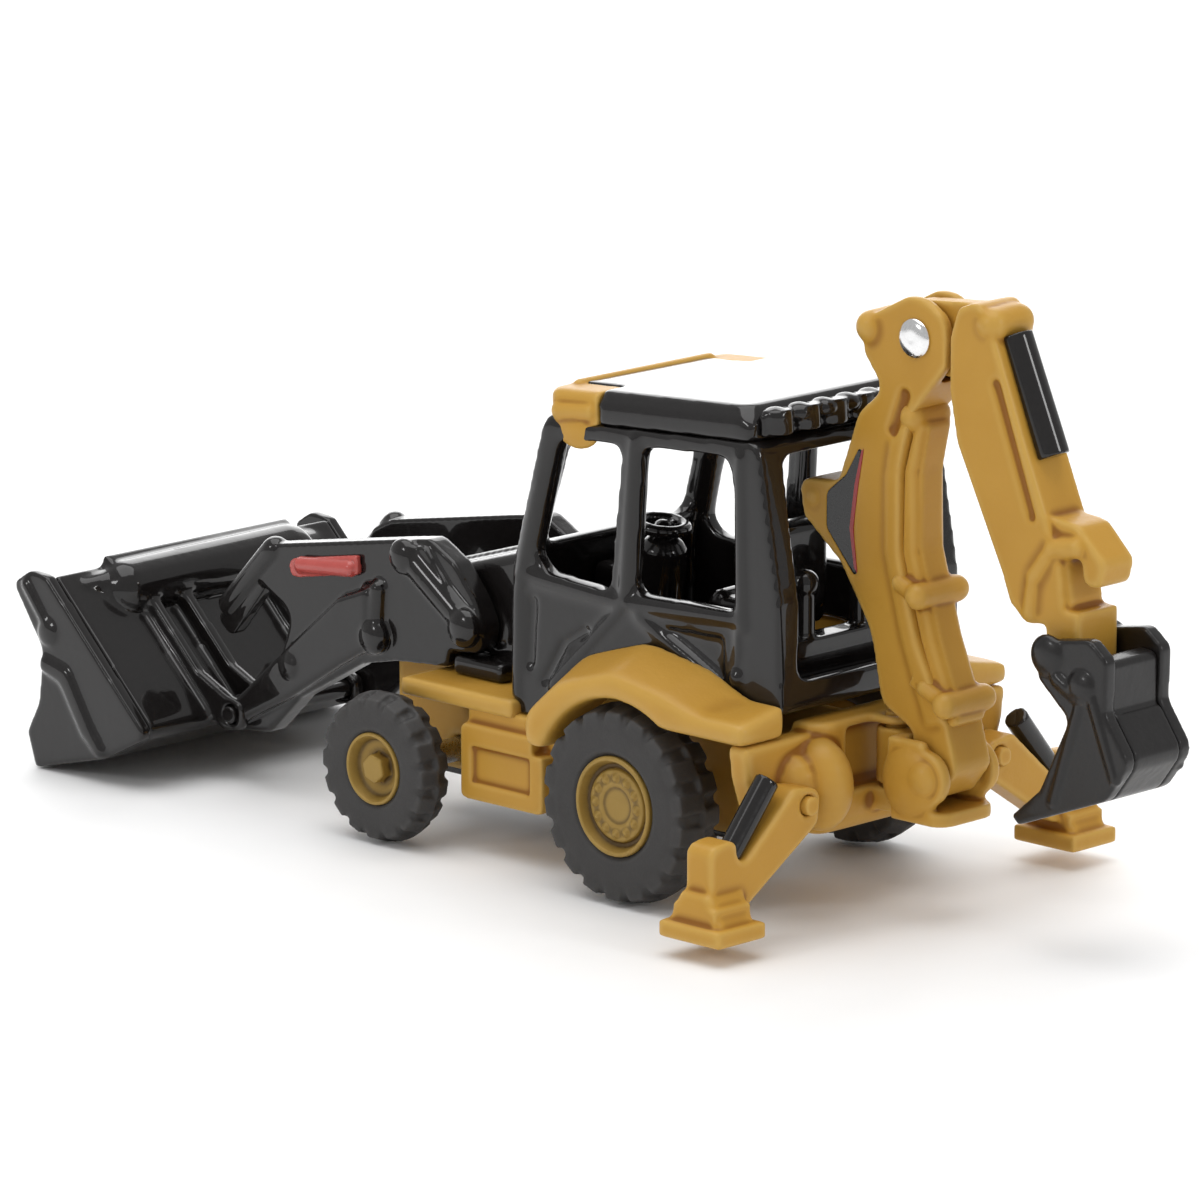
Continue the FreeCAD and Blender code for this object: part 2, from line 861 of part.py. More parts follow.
def stabiliser_pad():
    """The stepped pad under the left leg."""
    x0 = leg_pivot_x - foot_length / 2
    x1 = leg_pivot_x + foot_length / 2
    y0 = foot_outer - foot_width
    y1 = foot_outer
    z0 = foot_lift
    sole = block(x0, x1, y0, y1, z0, z0 + 1.1)
    step = block(x0 + 0.8, x1 - 0.8, y0 + 0.5, y1 - 0.5, z0 + 1.1, z0 + 2.3)
    return sole.fuse(step)


def stabiliser_cylinder():
    """The short ram moulded above the left leg, from its post towards the tower."""
    start = vector(leg_pivot_x, leg_pivot_y + 2.6, leg_pivot_z + 1.9)
    end = vector(leg_pivot_x, post_y - post_half - 0.2, foot_lift + pad_height + 2.6)
    ram = rod(start, end, 0.8)
    return ram.cut(stabiliser_leg())


# Loader


nose_radius = 1.25


def arm_outline():
    """The left loader arm: a deep plate behind, a dog-leg down to the bucket."""
    px = arm_pivot_x
    pz = arm_pivot_z
    bx = bucket_pin_x
    bz = bucket_pin_height
    return [
        (px - 1.5, pz + 0.5, 1.2),
        (px - 1.1, pz - 1.4, 1.0),
        (px + 1.7, pz - 1.6, 0.3),
        (px + 1.9, pz - 2.7, 0.3),
        (px + 6.8, pz - 3.1, 0.6),
        (px + 10.0, pz - 3.8, 1.2),
        (bx - 5.6, bz + 1.9, 1.5),
        (bx - 2.6, bz - 1.0, 1.2),
        (bx, bz - 1.25, 0),
        (bx, bz + 1.25, 0),
        (bx - 1.6, bz + 2.4, 0.8),
        (bx - 3.9, bz + 4.9, 1.0),
        (px + 16.6, pz - 1.5, 1.2),
        (px + 19.1, pz - 0.2, 0.4),
        (px + 20.5, pz + 1.0, 0.8),
        (px + 19.8, pz + 2.2, 0.8),
        (px + 18.0, pz + 3.1, 0.8),
        (px + 6.7, pz + 5.1, 2.0),
        (px + 3.6, pz + 5.6, 1.2),
        (px + 1.2, pz + 4.3, 1.5),
        (px - 0.6, pz + 2.2, 1.5),
    ]


def tilt_lever():
    """The lever from the top of the left arm towards the bucket coupler."""
    corners = [
        (arm_pivot_x + 18.4, arm_pivot_z + 1.0, 0.5),
        (bucket_pin_x + 1.2, bucket_pin_height + 4.9, 0.6),
        (bucket_pin_x + 2.7, bucket_pin_height + 6.0, 0.6),
        (arm_pivot_x + 20.3, arm_pivot_z + 1.6, 0.5),
        (arm_pivot_x + 19.0, arm_pivot_z + 2.4, 0.5),
    ]
    return side_plate(corners, arm_inner + 0.2, arm_outer - 0.2)


def lift_link():
    """The lift ram and link moulded on the outside of the left arm."""
    px = arm_pivot_x
    pz = arm_pivot_z
    face = arm_outer
    bar = side_plate(
        [
            (px + 5.3, pz + 5.1, 0.6),
            (px + 3.6, pz + 5.1, 0.6),
            (px - 1.2, pz - 0.2, 0.8),
            (px + 0.4, pz - 1.2, 0.8),
        ],
        face,
        face + 0.4,
    )
    lobe = side_plate(
        [
            (px + 7.9, pz + 1.8, 0.9),
            (px + 7.9, pz - 2.9, 0.9),
            (px + 9.9, pz - 2.9, 0.9),
            (px + 9.9, pz + 1.8, 0.9),
        ],
        face,
        face + 0.4,
    )
    return [bar, lobe]


def loader_arm():
    """The left arm plate with its rounded nose, lever and moulded link."""
    plate = side_plate(arm_outline(), arm_inner, arm_outer)
    nose = pin_y(bucket_pin_x, bucket_pin_height, nose_radius, arm_inner, arm_outer)
    pivot_bore = pin_y(arm_pivot_x, arm_pivot_z, pivot_radius + pin_clearance, 0, rear_outer)
    pin_bore = pin_y(bucket_pin_x, bucket_pin_height, small_pin_radius, 0, rear_outer)
    tube_bore = pin_y(tube_x, tube_z, tube_radius, 0, rear_outer)
    body = plate.fuse([nose, tilt_lever()] + lift_link())
    return body.cut([pivot_bore, pin_bore, tube_bore])


tube_x = bucket_pin_x - 5.4
tube_z = bucket_pin_height + 4.6
tube_radius = 0.9


def arm_cross_tube():
    """The tube that joins both arms ahead of the nose."""
    return pin_y(tube_x, tube_z, tube_radius, -arm_outer, arm_outer)


def arm_brace():
    """The red brace bar on the shoulder of the left arm."""
    px = arm_pivot_x
    pz = arm_pivot_z
    return side_plate(
        [
            (px + 9.8, pz + 2.3, 0.2),
            (px + 16.3, pz + 1.1, 0.6),
            (px + 16.4, pz + 2.4, 0.6),
            (px + 9.9, pz + 3.6, 0.2),
        ],
        arm_outer,
        arm_outer + 0.4,
    )


def bucket_pin():
    """The long pin through both arms and the bucket rails, fast in the arms."""
    end = arm_outer + side_gap + rail_thickness + 0.2
    return pin_y(bucket_pin_x, bucket_pin_height, small_pin_radius, -end, end)


def from_pin(points):
    """Bucket corners, given from the bucket pin."""
    return [(bucket_pin_x + a, bucket_pin_height + b, r) for a, b, r in points]


lip = -bucket_pin_height
rim_out = 11.2
rim_up = 8.7
heel_out = 1.4
heel_up = -0.8
wall_length = math.hypot(rim_out - heel_out, rim_up - heel_up)
wall_angle = math.atan2(rim_up - heel_up, rim_out - heel_out)


def on_wall(along, proud, radius):
    """A corner measured up the back wall from the heel and out from its face."""
    out = heel_out + along * math.cos(wall_angle) - proud * math.sin(wall_angle)
    up = heel_up + along * math.sin(wall_angle) + proud * math.cos(wall_angle)
    return (out, up, radius)


def bucket_cheek():
    """The left side plate of the loader bucket, notched like a clam."""
    corners = from_pin(
        [
            (heel_out, heel_up, 0.6),
            (5.8, lip + 1.7, 2.0),
            (12.6, lip, 0.2),
            (13.4, lip + 2.4, 0.6),
            (12.2, lip + 4.6, 1.0),
            (11.7, lip + 8.3, 1.5),
            (14.6, rim_up - 0.9, 0.5),
            (12.9, rim_up + 0.2, 0.6),
            (rim_out, rim_up, 0.3),
        ]
    )
    plate = side_plate(corners, bucket_half - bucket_plate, bucket_half)
    return plate.fuse(bucket_ridge())


def bucket_shell():
    """The curved back wall and floor with the coupler rails and the spill guard."""
    inner_half = bucket_half - bucket_plate
    outer = from_pin(
        [
            (heel_out, heel_up, 0.8),
            (5.8, lip + 1.7, 2.5),
            (12.6, lip, 0),
            (12.6, lip + 0.5, 0),
            (6.1, lip + 2.7, 2.5),
            (heel_out + 1.4, heel_up + 0.4, 0.8),
            on_wall(wall_length, -0.9, 0),
            on_wall(wall_length, 0, 0),
        ]
    )
    wall = side_plate(outer, -inner_half, inner_half)
    outer_rail = arm_outer + side_gap + rail_thickness / 2
    inner_rail = arm_inner - side_gap - rail_thickness / 2
    rails = [bucket_rail(y) for y in (-outer_rail, -inner_rail, inner_rail, outer_rail)]
    return wall.fuse(rails + [spill_guard()])


def bucket_rail(y):
    """One slanted rib of the coupler on the back wall of the bucket."""
    corners = from_pin(
        [
            on_wall(0.4, -0.1, 0),
            on_wall(wall_length - 0.8, -0.1, 0),
            on_wall(wall_length - 1.6, 1.1, 0.5),
            on_wall(3.6, 1.1, 1.0),
            (0.4, 1.25, 0.8),
            (-1.15, 0.9, 0.8),
            (-1.15, -1.0, 0.8),
            (0.9, -1.2, 0.5),
        ]
    )
    rail = side_plate(corners, y - rail_thickness / 2, y + rail_thickness / 2)
    bore_radius = small_pin_radius + pin_clearance
    return rail.cut(pin_y(bucket_pin_x, bucket_pin_height, bore_radius, y - 1, y + 1))


def bucket_ridge():
    """The raised rib on the outside of the left side plate."""
    corners = from_pin(
        [
            (11.6, 3.3, 0.3),
            (9.0, 2.7, 1.0),
            (6.7, -0.9, 1.0),
            (5.4, -2.5, 0.3),
            (6.1, -2.9, 0.3),
            (7.7, -1.5, 1.0),
            (9.8, 1.7, 1.0),
            (11.7, 2.3, 0.3),
        ]
    )
    return side_plate(corners, bucket_half, bucket_half + 0.35)


def bucket_edge():
    """The cutting edge along the lip."""
    corners = from_pin([(12.6, lip, 0), (13.5, lip, 0), (13.5, lip + 0.2, 0), (12.6, lip + 0.5, 0)])
    half = bucket_half - bucket_plate
    return side_plate(corners, -half, half)


def spill_guard():
    """The guard that rises along the middle of the top rim."""
    corners = from_pin(
        [
            on_wall(wall_length - 2.6, -0.1, 0),
            on_wall(wall_length, -0.1, 0),
            on_wall(wall_length + 0.5, 0.8, 0.3),
            on_wall(wall_length - 2.2, 1.2, 0.5),
        ]
    )
    half = 8.5
    return side_plate(corners, -half, half)


# Backhoe


def from_foot(points):
    return [(boom_foot_x + a, boom_foot_z + b, r) for a, b, r in points]


def from_rivet(points):
    return [(stick_pivot_x + a, stick_pivot_z + b, r) for a, b, r in points]


def from_hoe_pin(points):
    return [(hoe_pin_x + a, hoe_pin_z + b, r) for a, b, r in points]


def boom_outline():
    return from_foot(
        [
            (1.7, -0.2, 0.8),
            (1.8, 2.6, 0.8),
            (4.5, 4.0, 1.2),
            (5.4, 8.4, 6.0),
            (8.0, 12.4, 1.0),
            (11.2, 15.0, 0.8),
            (11.6, 17.4, 0.8),
            (8.3, 17.6, 0.8),
            (6.6, 22.2, 2.0),
            (4.6, 24.0, 0.8),
            (6.3, 26.2, 1.0),
            (5.9, 28.4, 1.0),
            (2.4, 30.2, 1.5),
            (-0.7, 29.2, 1.5),
            (-0.7, 26.0, 1.0),
            (2.2, 22.6, 2.0),
            (3.0, 19.0, 4.0),
            (3.0, 13.8, 6.0),
            (1.5, 8.4, 8.0),
            (-1.0, 3.6, 2.0),
            (-1.9, 0.6, 1.0),
            (0, -1.9, 0.9),
        ]
    )


def boom():
    """The curved boom casting, forked at its top for the stick."""
    body = side_plate(boom_outline(), -boom_half, boom_half)
    half = tongue_width / 2 + side_gap
    round_room = pin_y(stick_pivot_x, stick_pivot_z, tongue_radius + 0.4, -half, half)
    open_room = block(
        stick_pivot_x - 6, stick_pivot_x, -half, half, stick_pivot_z - tongue_radius - 0.4, stick_pivot_z + 6
    )
    foot_bore = pin_y(boom_foot_x, boom_foot_z, pivot_radius + pin_clearance, -3, 3)
    rivet_bore = pin_y(stick_pivot_x, stick_pivot_z, small_pin_radius, -3, 3)
    panel = side_plate(boom_panel_outline(), boom_half - panel_depth, boom_half)
    return body.cut([round_room, open_room, foot_bore, rivet_bore, panel, mirrored(panel)])


panel_depth = 0.2


def boom_panel_outline():
    """The sunken field on each side of the boom, which takes the printed panel."""
    return from_foot(
        [
            (6.5, 11.4, 0.2),
            (9.2, 14.5, 0.8),
            (9.2, 16.8, 0.8),
            (7.6, 18.1, 0.8),
            (6.0, 20.8, 0.2),
            (6.6, 17.6, 8.0),
            (7.0, 14.8, 8.0),
        ]
    )


def boom_panel():
    """The plain black panel with its stripe field on the left of the boom."""
    return side_plate(boom_panel_outline(), boom_half - panel_depth, boom_half)


def boom_ram():
    """The long ram moulded along the rear of the boom."""
    corners = from_foot(
        [
            (2.2, 22.6, 0.3),
            (3.0, 19.0, 4.0),
            (3.0, 13.8, 6.0),
            (1.5, 8.4, 8.0),
            (-0.8, 4.0, 0.3),
            (-2.0, 3.4, 0.4),
            (0.2, 8.8, 8.0),
            (1.8, 14.2, 6.0),
            (1.8, 19.0, 4.0),
            (1.2, 22.0, 0.4),
        ]
    )
    rib = side_plate(corners, -1.0, 1.0)
    half = boom_half + 0.12
    clamps = []
    for out, up, turn in ((2.4, 11.3, -14), (1.0, 5.5, -24)):
        centre = vector(boom_foot_x + out, 0, boom_foot_z + up)
        band = soft_block(
            centre.x - 1.2, centre.x + 1.2, -half, half, centre.z - 0.6, centre.z + 0.6, 0.3
        )
        clamps.append(band.rotated(centre, vector(0, 1, 0), turn))
    return rib.fuse(clamps).cut(side_plate(boom_outline(), -boom_half, boom_half))


def stick_rivet():
    """The bright rivet that joins the boom and the stick."""
    shank = pin_y(stick_pivot_x, stick_pivot_z, small_pin_radius, -boom_half, boom_half)
    heads = []
    for side in (1, -1):
        start = vector(stick_pivot_x, side * boom_half, stick_pivot_z)
        head = Part.makeCylinder(rivet_head_radius, 0.45, start, vector(0, side, 0))
        rim_edges = [e for e in head.Edges if abs(e.CenterOfMass.y) > boom_half + 0.4]
        heads.append(head.makeFillet(0.3, rim_edges))
    return shank.fuse(heads)


stick_half = 1.9


def stick():
    """The stick casting with the tongue that turns on the rivet."""
    body = side_plate(
        from_rivet(
            [
                (-3.0, -3.0, 0.6),
                (-3.6, -6.0, 2.0),
                (-7.4, -13.6, 1.5),
                (-8.1, -15.4, 0.6),
                (-9.4, -16.5, 0.6),
                (-12.6, -16.2, 0.8),
                (-12.2, -12.6, 1.5),
                (-9.2, -5.6, 3.0),
                (-6.2, 1.8, 0.8),
                (-5.2, 3.0, 0.8),
                (-3.6, 2.4, 0.8),
                (-3.0, 0.6, 0.8),
            ]
        ),
        -stick_half,
        stick_half,
    )
    half = tongue_width / 2
    hub = pin_y(stick_pivot_x, stick_pivot_z, tongue_radius, -half, half)
    neck = side_plate(
        from_rivet([(0, -tongue_radius, 0), (0, tongue_radius, 0), (-5, 2.7, 0), (-5, -tongue_radius, 0)]),
        -half,
        half,
    )
    end_half = hoe_bucket_width / 2 - 1.0 - side_gap
    tail = side_plate(
        [
            (hoe_pin_x - 1.3, hoe_pin_z - 0.4, 0.6),
            (hoe_pin_x + 0.2, hoe_pin_z - 1.3, 0.8),
            (hoe_pin_x + 1.4, hoe_pin_z + 0.2, 0.6),
            (hoe_pin_x + 1.4, hoe_pin_z + 3.0, 0),
            (hoe_pin_x - 1.3, hoe_pin_z + 3.0, 0),
        ],
        -end_half,
        end_half,
    )
    bores = [
        pin_y(stick_pivot_x, stick_pivot_z, small_pin_radius + pin_clearance, -3, 3),
        pin_y(hoe_pin_x, hoe_pin_z, small_pin_radius, -3, 3),
    ]
    return body.fuse([hub, neck, tail, linkage_guard()]).cut(bores)


def stick_ram():
    """The ram on the outer side of the stick."""
    start = vector(stick_pivot_x - 6.7, 0, stick_pivot_z + 0.9)
    end = vector(stick_pivot_x - 9.9, 0, stick_pivot_z - 6.3)
    return rod(start, end, 1.1).cut(stick())


def linkage_guard():
    """The C-shaped guard moulded at the end of the stick."""
    corners = from_rivet(
        [
            (-10.6, -9.6, 0),
            (-13.2, -9.9, 1.0),
            (-15.4, -12.0, 0.8),
            (-14.9, -13.8, 0.6),
            (-13.7, -13.4, 0.4),
            (-13.5, -12.0, 0.5),
            (-12.4, -11.8, 0.4),
            (-12.9, -15.0, 0.4),
            (-11.4, -15.4, 0),
        ]
    )
    half = 1.5
    return side_plate(corners, -half, half)


hoe_plate = 0.6


def hoe_side():
    """The left side plate of the digging bucket with its pin ears."""
    corners = from_hoe_pin(
        [
            (1.2, 0.6, 0.8),
            (0.9, -1.2, 0.6),
            (-1.6, -3.4, 0.8),
            (0.7, -8.2, 1.0),
            (3.0, -10.2, 0.2),
            (2.4, -10.7, 0.2),
            (-4.6, -8.0, 1.5),
            (-6.5, -5.4, 1.2),
            (-4.5, -2.6, 1.0),
            (-4.6, 0.8, 0.8),
            (-3.2, 1.9, 0.8),
            (-0.2, 1.4, 0.8),
        ]
    )
    y1 = hoe_bucket_width / 2
    plate = side_plate(corners, y1 - 1.0, y1)
    hollow = side_plate(
        from_hoe_pin(
            [(-1.2, -4.4, 0), (1.0, -8.6, 0), (-4.2, -7.0, 0), (-5.2, -5.2, 0), (-3.8, -3.6, 0)]
        ),
        y1 - 1.0,
        y1 - hoe_plate,
    )
    bore = pin_y(hoe_pin_x, hoe_pin_z, small_pin_radius + pin_clearance, 0, 5)
    return plate.cut([bore, hollow])


def hoe_shell():
    """The curved back and floor of the digging bucket."""
    corners = from_hoe_pin(
        [
            (2.4, -10.7, 0),
            (-4.6, -8.0, 1.5),
            (-6.5, -5.4, 1.2),
            (-4.5, -2.6, 0.8),
            (-2.2, -3.0, 0.3),
            (-2.4, -3.8, 0.3),
            (-4.2, -3.8, 0.8),
            (-5.5, -5.4, 0.8),
            (-4.0, -7.4, 0.8),
            (2.2, -10.1, 0),
        ]
    )
    half = hoe_bucket_width / 2 - 1.0
    teeth = [hoe_tooth(y) for y in (-1.7, -0.57, 0.57, 1.7)]
    return side_plate(corners, -half, half).fuse(teeth + [hoe_link()])


def hoe_tooth(y):
    corners = from_hoe_pin([(1.4, -10.0, 0), (2.4, -10.7, 0), (3.9, -10.9, 0.1), (2.3, -9.8, 0)])
    return side_plate(corners, y - 0.35, y + 0.35)


def hoe_link():
    """The coupler cross block between the bucket ears, behind the pin."""
    return side_plate(
        from_hoe_pin([(-4.3, 0.5, 0.5), (-4.3, -3.4, 0), (-3.0, -3.4, 0), (-2.6, 0.7, 0.5)]),
        -(hoe_bucket_width / 2 - 1.0),
        hoe_bucket_width / 2 - 1.0,
    )


def hoe_pin():
    """The pin that the digging bucket turns on, fast in the stick."""
    end = hoe_bucket_width / 2 + 0.25
    return pin_y(hoe_pin_x, hoe_pin_z, small_pin_radius, -end, end)


os.makedirs("parts", exist_ok=True)
make_wheels()
save("chassis_frame", chassis_frame())
save("belly_plate", belly_plate())
save("base_screw_rear", base_screw(screw_places[0]))
save("base_screw_front", base_screw(screw_places[1]))
save_pair("step_box", step_box())
save_pair("fender", fender())
save("hood", hood())
save("grille", grille())
save("arm_pivot_pin", arm_pivot_pin())
save("cab_frame", cab_frame())
save("cab_roof", cab_roof())
save("roof_front_trim", roof_front_trim())
save("roof_rear_trim", roof_rear_trim())
save("seat", seat())
save("control_console", control_console())
save("steering_console", steering_console())
save("rear_frame", rear_frame())
save("swing_pin", swing_pin())
save("swing_casting", swing_casting())
save("boom_foot_pin", boom_foot_pin())
save_pair("stabiliser_pin", stabiliser_pin())
save_pair("stabiliser_leg", stabiliser_leg())
save_pair("stabiliser_cylinder", stabiliser_cylinder())
save_pair("loader_arm", loader_arm())
save("arm_cross_tube", arm_cross_tube())
save_pair("arm_brace", arm_brace())
save("bucket_pin", bucket_pin())
save_pair("bucket_cheek", bucket_cheek())
save("bucket_shell", bucket_shell())
save("bucket_edge", bucket_edge())
save("boom", boom())
save_pair("boom_panel", boom_panel())
save("boom_ram", boom_ram())
save("stick_rivet", stick_rivet())
save("stick", stick())
save("stick_ram", stick_ram())
save_pair("hoe_side", hoe_side())
save("hoe_shell", hoe_shell())
save("hoe_pin", hoe_pin())
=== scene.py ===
import json
import math

import bpy
import numpy
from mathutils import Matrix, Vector


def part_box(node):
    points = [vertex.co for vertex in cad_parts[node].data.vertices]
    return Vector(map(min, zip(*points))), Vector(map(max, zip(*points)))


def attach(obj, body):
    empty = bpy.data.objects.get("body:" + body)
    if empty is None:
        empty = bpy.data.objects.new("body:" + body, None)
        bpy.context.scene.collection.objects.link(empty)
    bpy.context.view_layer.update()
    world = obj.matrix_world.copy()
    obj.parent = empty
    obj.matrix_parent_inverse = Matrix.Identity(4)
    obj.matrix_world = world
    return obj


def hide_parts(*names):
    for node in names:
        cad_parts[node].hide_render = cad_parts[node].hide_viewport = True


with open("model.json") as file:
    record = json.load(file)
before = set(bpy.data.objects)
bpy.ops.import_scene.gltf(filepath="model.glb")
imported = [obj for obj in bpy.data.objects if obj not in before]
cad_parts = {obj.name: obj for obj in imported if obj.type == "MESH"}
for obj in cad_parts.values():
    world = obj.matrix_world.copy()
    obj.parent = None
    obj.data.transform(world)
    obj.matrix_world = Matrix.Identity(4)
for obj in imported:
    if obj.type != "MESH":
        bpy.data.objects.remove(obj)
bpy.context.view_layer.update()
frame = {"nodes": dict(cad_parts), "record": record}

# The bench: a pale sheet of board under a small die-cast toy, soft boxes round it and a long lens.
# The board is matt and reaches past every edge of the view. Nothing here is part of the toy.
millimetre = 0.001
toy_middle = Vector((0.0027, 0.0, 0.01577))
camera_turn = math.radians(44.27)
camera_rise = math.radians(12.77)
camera_distance = 0.519
scene = bpy.context.scene


def nothing_selected():
    """Leaves the scene with no object selected, so that an operator meets only what it should."""
    bpy.ops.object.select_all(action="DESELECT")


towards_camera = Vector((
    -math.sin(camera_turn) * math.cos(camera_rise),
    math.cos(camera_turn) * math.cos(camera_rise),
    math.sin(camera_rise),
))
nothing_selected()
bpy.ops.object.camera_add(location=toy_middle + camera_distance * towards_camera)
camera = bpy.context.object
camera.rotation_euler = (-towards_camera).to_track_quat("-Z", "Y").to_euler()
camera.data.lens = 240
camera.data.sensor_width = 36
camera.data.clip_start = 0.01
camera.data.clip_end = 20
scene.camera = camera

scene.view_settings.view_transform = "Standard"
white = (1.0, 1.0, 1.0, 1.0)
room_strength = 0.52
room = bpy.data.worlds.new("room")
room.use_nodes = True
air = room.node_tree.nodes["Background"]
air.inputs["Color"].default_value = white
air.inputs["Strength"].default_value = room_strength
scene.world = room

# Each soft box has a name, a place and a width in metres, and a power in watts.
soft_boxes = [
    ("overhead", (0.05, 0.05, 0.62), 0.62, 2.5),
    ("left_side", (0.14, 0.60, 0.34), 0.12, 0.45),
    ("rear_side", (-0.62, -0.10, 0.30), 0.14, 0.6),
    ("backdrop", (0.62, -0.62, 0.30), 0.85, 4.7),
]
for name, place, width, power in soft_boxes:
    bpy.ops.object.light_add(type="AREA", location=place)
    soft_box = bpy.context.object
    soft_box.name = name
    soft_box.rotation_euler = (toy_middle - Vector(place)).to_track_quat("-Z", "Y").to_euler()
    soft_box.data.shape = "SQUARE"
    soft_box.data.size = width
    soft_box.data.energy = power


class Signal:
    """One output in a finish's nodes. A sum or product of signals adds its own Math node."""

    def __init__(self, finish, socket):
        self.finish = finish
        self.socket = socket

    def maths(self, operation, first, second):
        return self.finish.node("ShaderNodeMath", {"operation": operation}, {0: first, 1: second})

    def __add__(self, other):
        return self.maths("ADD", self, other)

    def __radd__(self, other):
        return self.maths("ADD", other, self)

    def __sub__(self, other):
        return self.maths("SUBTRACT", self, other)

    def __rsub__(self, other):
        return self.maths("SUBTRACT", other, self)

    def __mul__(self, other):
        return self.maths("MULTIPLY", self, other)

    def __rmul__(self, other):
        return self.maths("MULTIPLY", other, self)


class Finish:
    """A material being made: its nodes, and the one way of adding to them."""

    def __init__(self, name, **constants):
        self.material = bpy.data.materials.new(name)
        self.material.use_nodes = True
        self.tree = self.material.node_tree
        self.shader = self.tree.nodes["Principled BSDF"]
        self.place = self.node("ShaderNodeTexCoord", output="Object")
        for socket, value in constants.items():
            self.shader.inputs[socket.replace("_", " ").title().replace("Ior", "IOR")].default_value = value

    def node(self, kind, settings=None, sockets=None, output=0):
        made = self.tree.nodes.new(kind)
        for key, value in (settings or {}).items():
            if key == "stops":
                for number, (position, grey) in enumerate(value):
                    ramp = made.color_ramp.elements
                    stop = ramp[number] if number < len(ramp) else ramp.new(position)
                    stop.position = position
                    stop.color = (grey, grey, grey, 1.0)
            else:
                setattr(made, key, value)
        for key, value in (sockets or {}).items():
            self.feed(made.inputs[key], value)
        return Signal(self, made.outputs[output])

    def feed(self, socket, value):
        if isinstance(value, Signal):
            self.tree.links.new(value.socket, socket)
        else:
            socket.default_value = value

    def speckle(self, size, detail=2.0):
        """Soft noise whose blotches are about size across."""
        sockets = {"Vector": self.place, "Scale": 1 / size, "Detail": detail}
        return self.node("ShaderNodeTexNoise", {}, sockets)

    def ramp(self, value, *stops):
        return self.node("ShaderNodeValToRGB", {"stops": stops}, {"Fac": value})

    def blend(self, share, first, second):
        """The first colour, with the second over it where share is 1."""
        return self.node(
            "ShaderNodeMix", {"data_type": "RGBA"}, {0: share, 6: first, 7: second}, output=2
        )

    def hollows(self, shallow, deep):
        """1 in inside corners and 0 on open faces: shallow and deep are bends from 0 to 1."""
        bend = self.node("ShaderNodeAttribute", {"attribute_name": "bend"}, output="Fac")
        return self.ramp(bend, (0.5 + shallow / 2, 0.0), (0.5 + deep / 2, 1.0))

    def ridges(self, soft, sharp):
        """1 along outside edges and 0 on open faces: soft and sharp are bends from 0 to 1."""
        bend = self.node("ShaderNodeAttribute", {"attribute_name": "bend"}, output="Fac")
        return self.ramp(bend, (0.5 - sharp / 2, 1.0), (0.5 - soft / 2, 0.0))

    def bumps(self, height, depth):
        """Raises the surface by height, which runs from 0 to 1, times depth in metres."""
        bump = self.node("ShaderNodeBump", {}, {"Height": height, "Distance": depth, "Strength": 1.0})
        self.feed(self.shader.inputs["Normal"], bump)

    def finished(self, colour, roughness):
        self.feed(self.shader.inputs["Base Color"], colour)
        self.feed(self.shader.inputs["Roughness"], roughness)
        return self.material


def bench_board():
    board = Finish("pale_board")
    off_white = (0.95, 0.95, 0.95, 1.0)
    near_white = (0.98, 0.98, 0.98, 1.0)
    fleck = board.speckle(4 * millimetre)
    board.bumps(fleck, 0.01 * millimetre)
    return board.finished(board.blend(fleck, off_white, near_white), 0.6 + 0.1 * fleck)


board_width = 8.0
board_drop = 0.02 * millimetre
nothing_selected()
bpy.ops.mesh.primitive_grid_add(
    x_subdivisions=4, y_subdivisions=4, size=board_width, location=(0, 0, -board_drop)
)
bench = bpy.context.object
bench.name = "bench"
bench.data.materials.append(bench_board())


# The rolling base: one yellow casting with a step box under each door and a fender over each rear
# wheel. All are zinc castings under satin enamel, so their edges are round, and painted shade makes the
# enamel browner in the corners. Two screws hold the black plate that closes the underside.
bodies = frame["record"]["behaviour"]["bodies"]
body_of = {node: body for body, nodes in bodies.items() for node in nodes}
sides = (("left", 1), ("right", -1))


def made_last():
    """The object that the last operator made."""
    return bpy.context.object


def flattened(piece):
    """Puts a piece's place, turn and size into its mesh."""
    nothing_selected()
    piece.select_set(True)
    bpy.context.view_layer.objects.active = piece
    bpy.ops.object.transform_apply(location=True, rotation=True, scale=True)
    return piece


def bar(start, end, radius):
    """A bar with round ends between two points, in millimetres."""
    start, end = Vector(start), Vector(end)
    nothing_selected()
    bpy.ops.mesh.primitive_uv_sphere_add(segments=16, ring_count=8, radius=radius * millimetre)
    piece = made_last()
    above_middle = 0.1 * radius * millimetre
    upper = [corner for corner in piece.data.vertices if corner.co.z > above_middle]
    stretch_faces(piece, upper, (0, 0, (end - start).length * millimetre))
    piece.rotation_euler = (end - start).to_track_quat("Z", "Y").to_euler()
    piece.location = start * millimetre
    return flattened(piece)


def stretch_faces(piece, corners, move):
    """Moves the chosen corners of a piece in edit mode."""
    for face in piece.data.polygons:
        face.select = False
    for edge in piece.data.edges:
        edge.select = False
    for corner in piece.data.vertices:
        corner.select = False
    for corner in corners:
        corner.select = True
    bpy.context.view_layer.objects.active = piece
    bpy.ops.object.mode_set(mode="EDIT")
    bpy.ops.transform.translate(value=move)
    bpy.ops.object.mode_set(mode="OBJECT")


def dome(place, radii):
    """A rounded lump, its three radii along X, Y and Z, in millimetres."""
    nothing_selected()
    bpy.ops.mesh.primitive_uv_sphere_add(segments=24, ring_count=12, radius=millimetre)
    piece = made_last()
    piece.scale = radii
    piece.location = Vector(place) * millimetre
    return flattened(piece)


def softened(piece, width, segments):
    """Rounds the edges of the piece in hand, width in millimetres."""
    soft = piece.modifiers.new("soft", "BEVEL")
    soft.width = width * millimetre
    soft.segments = segments
    bpy.ops.object.modifier_apply(modifier="soft")
    return piece


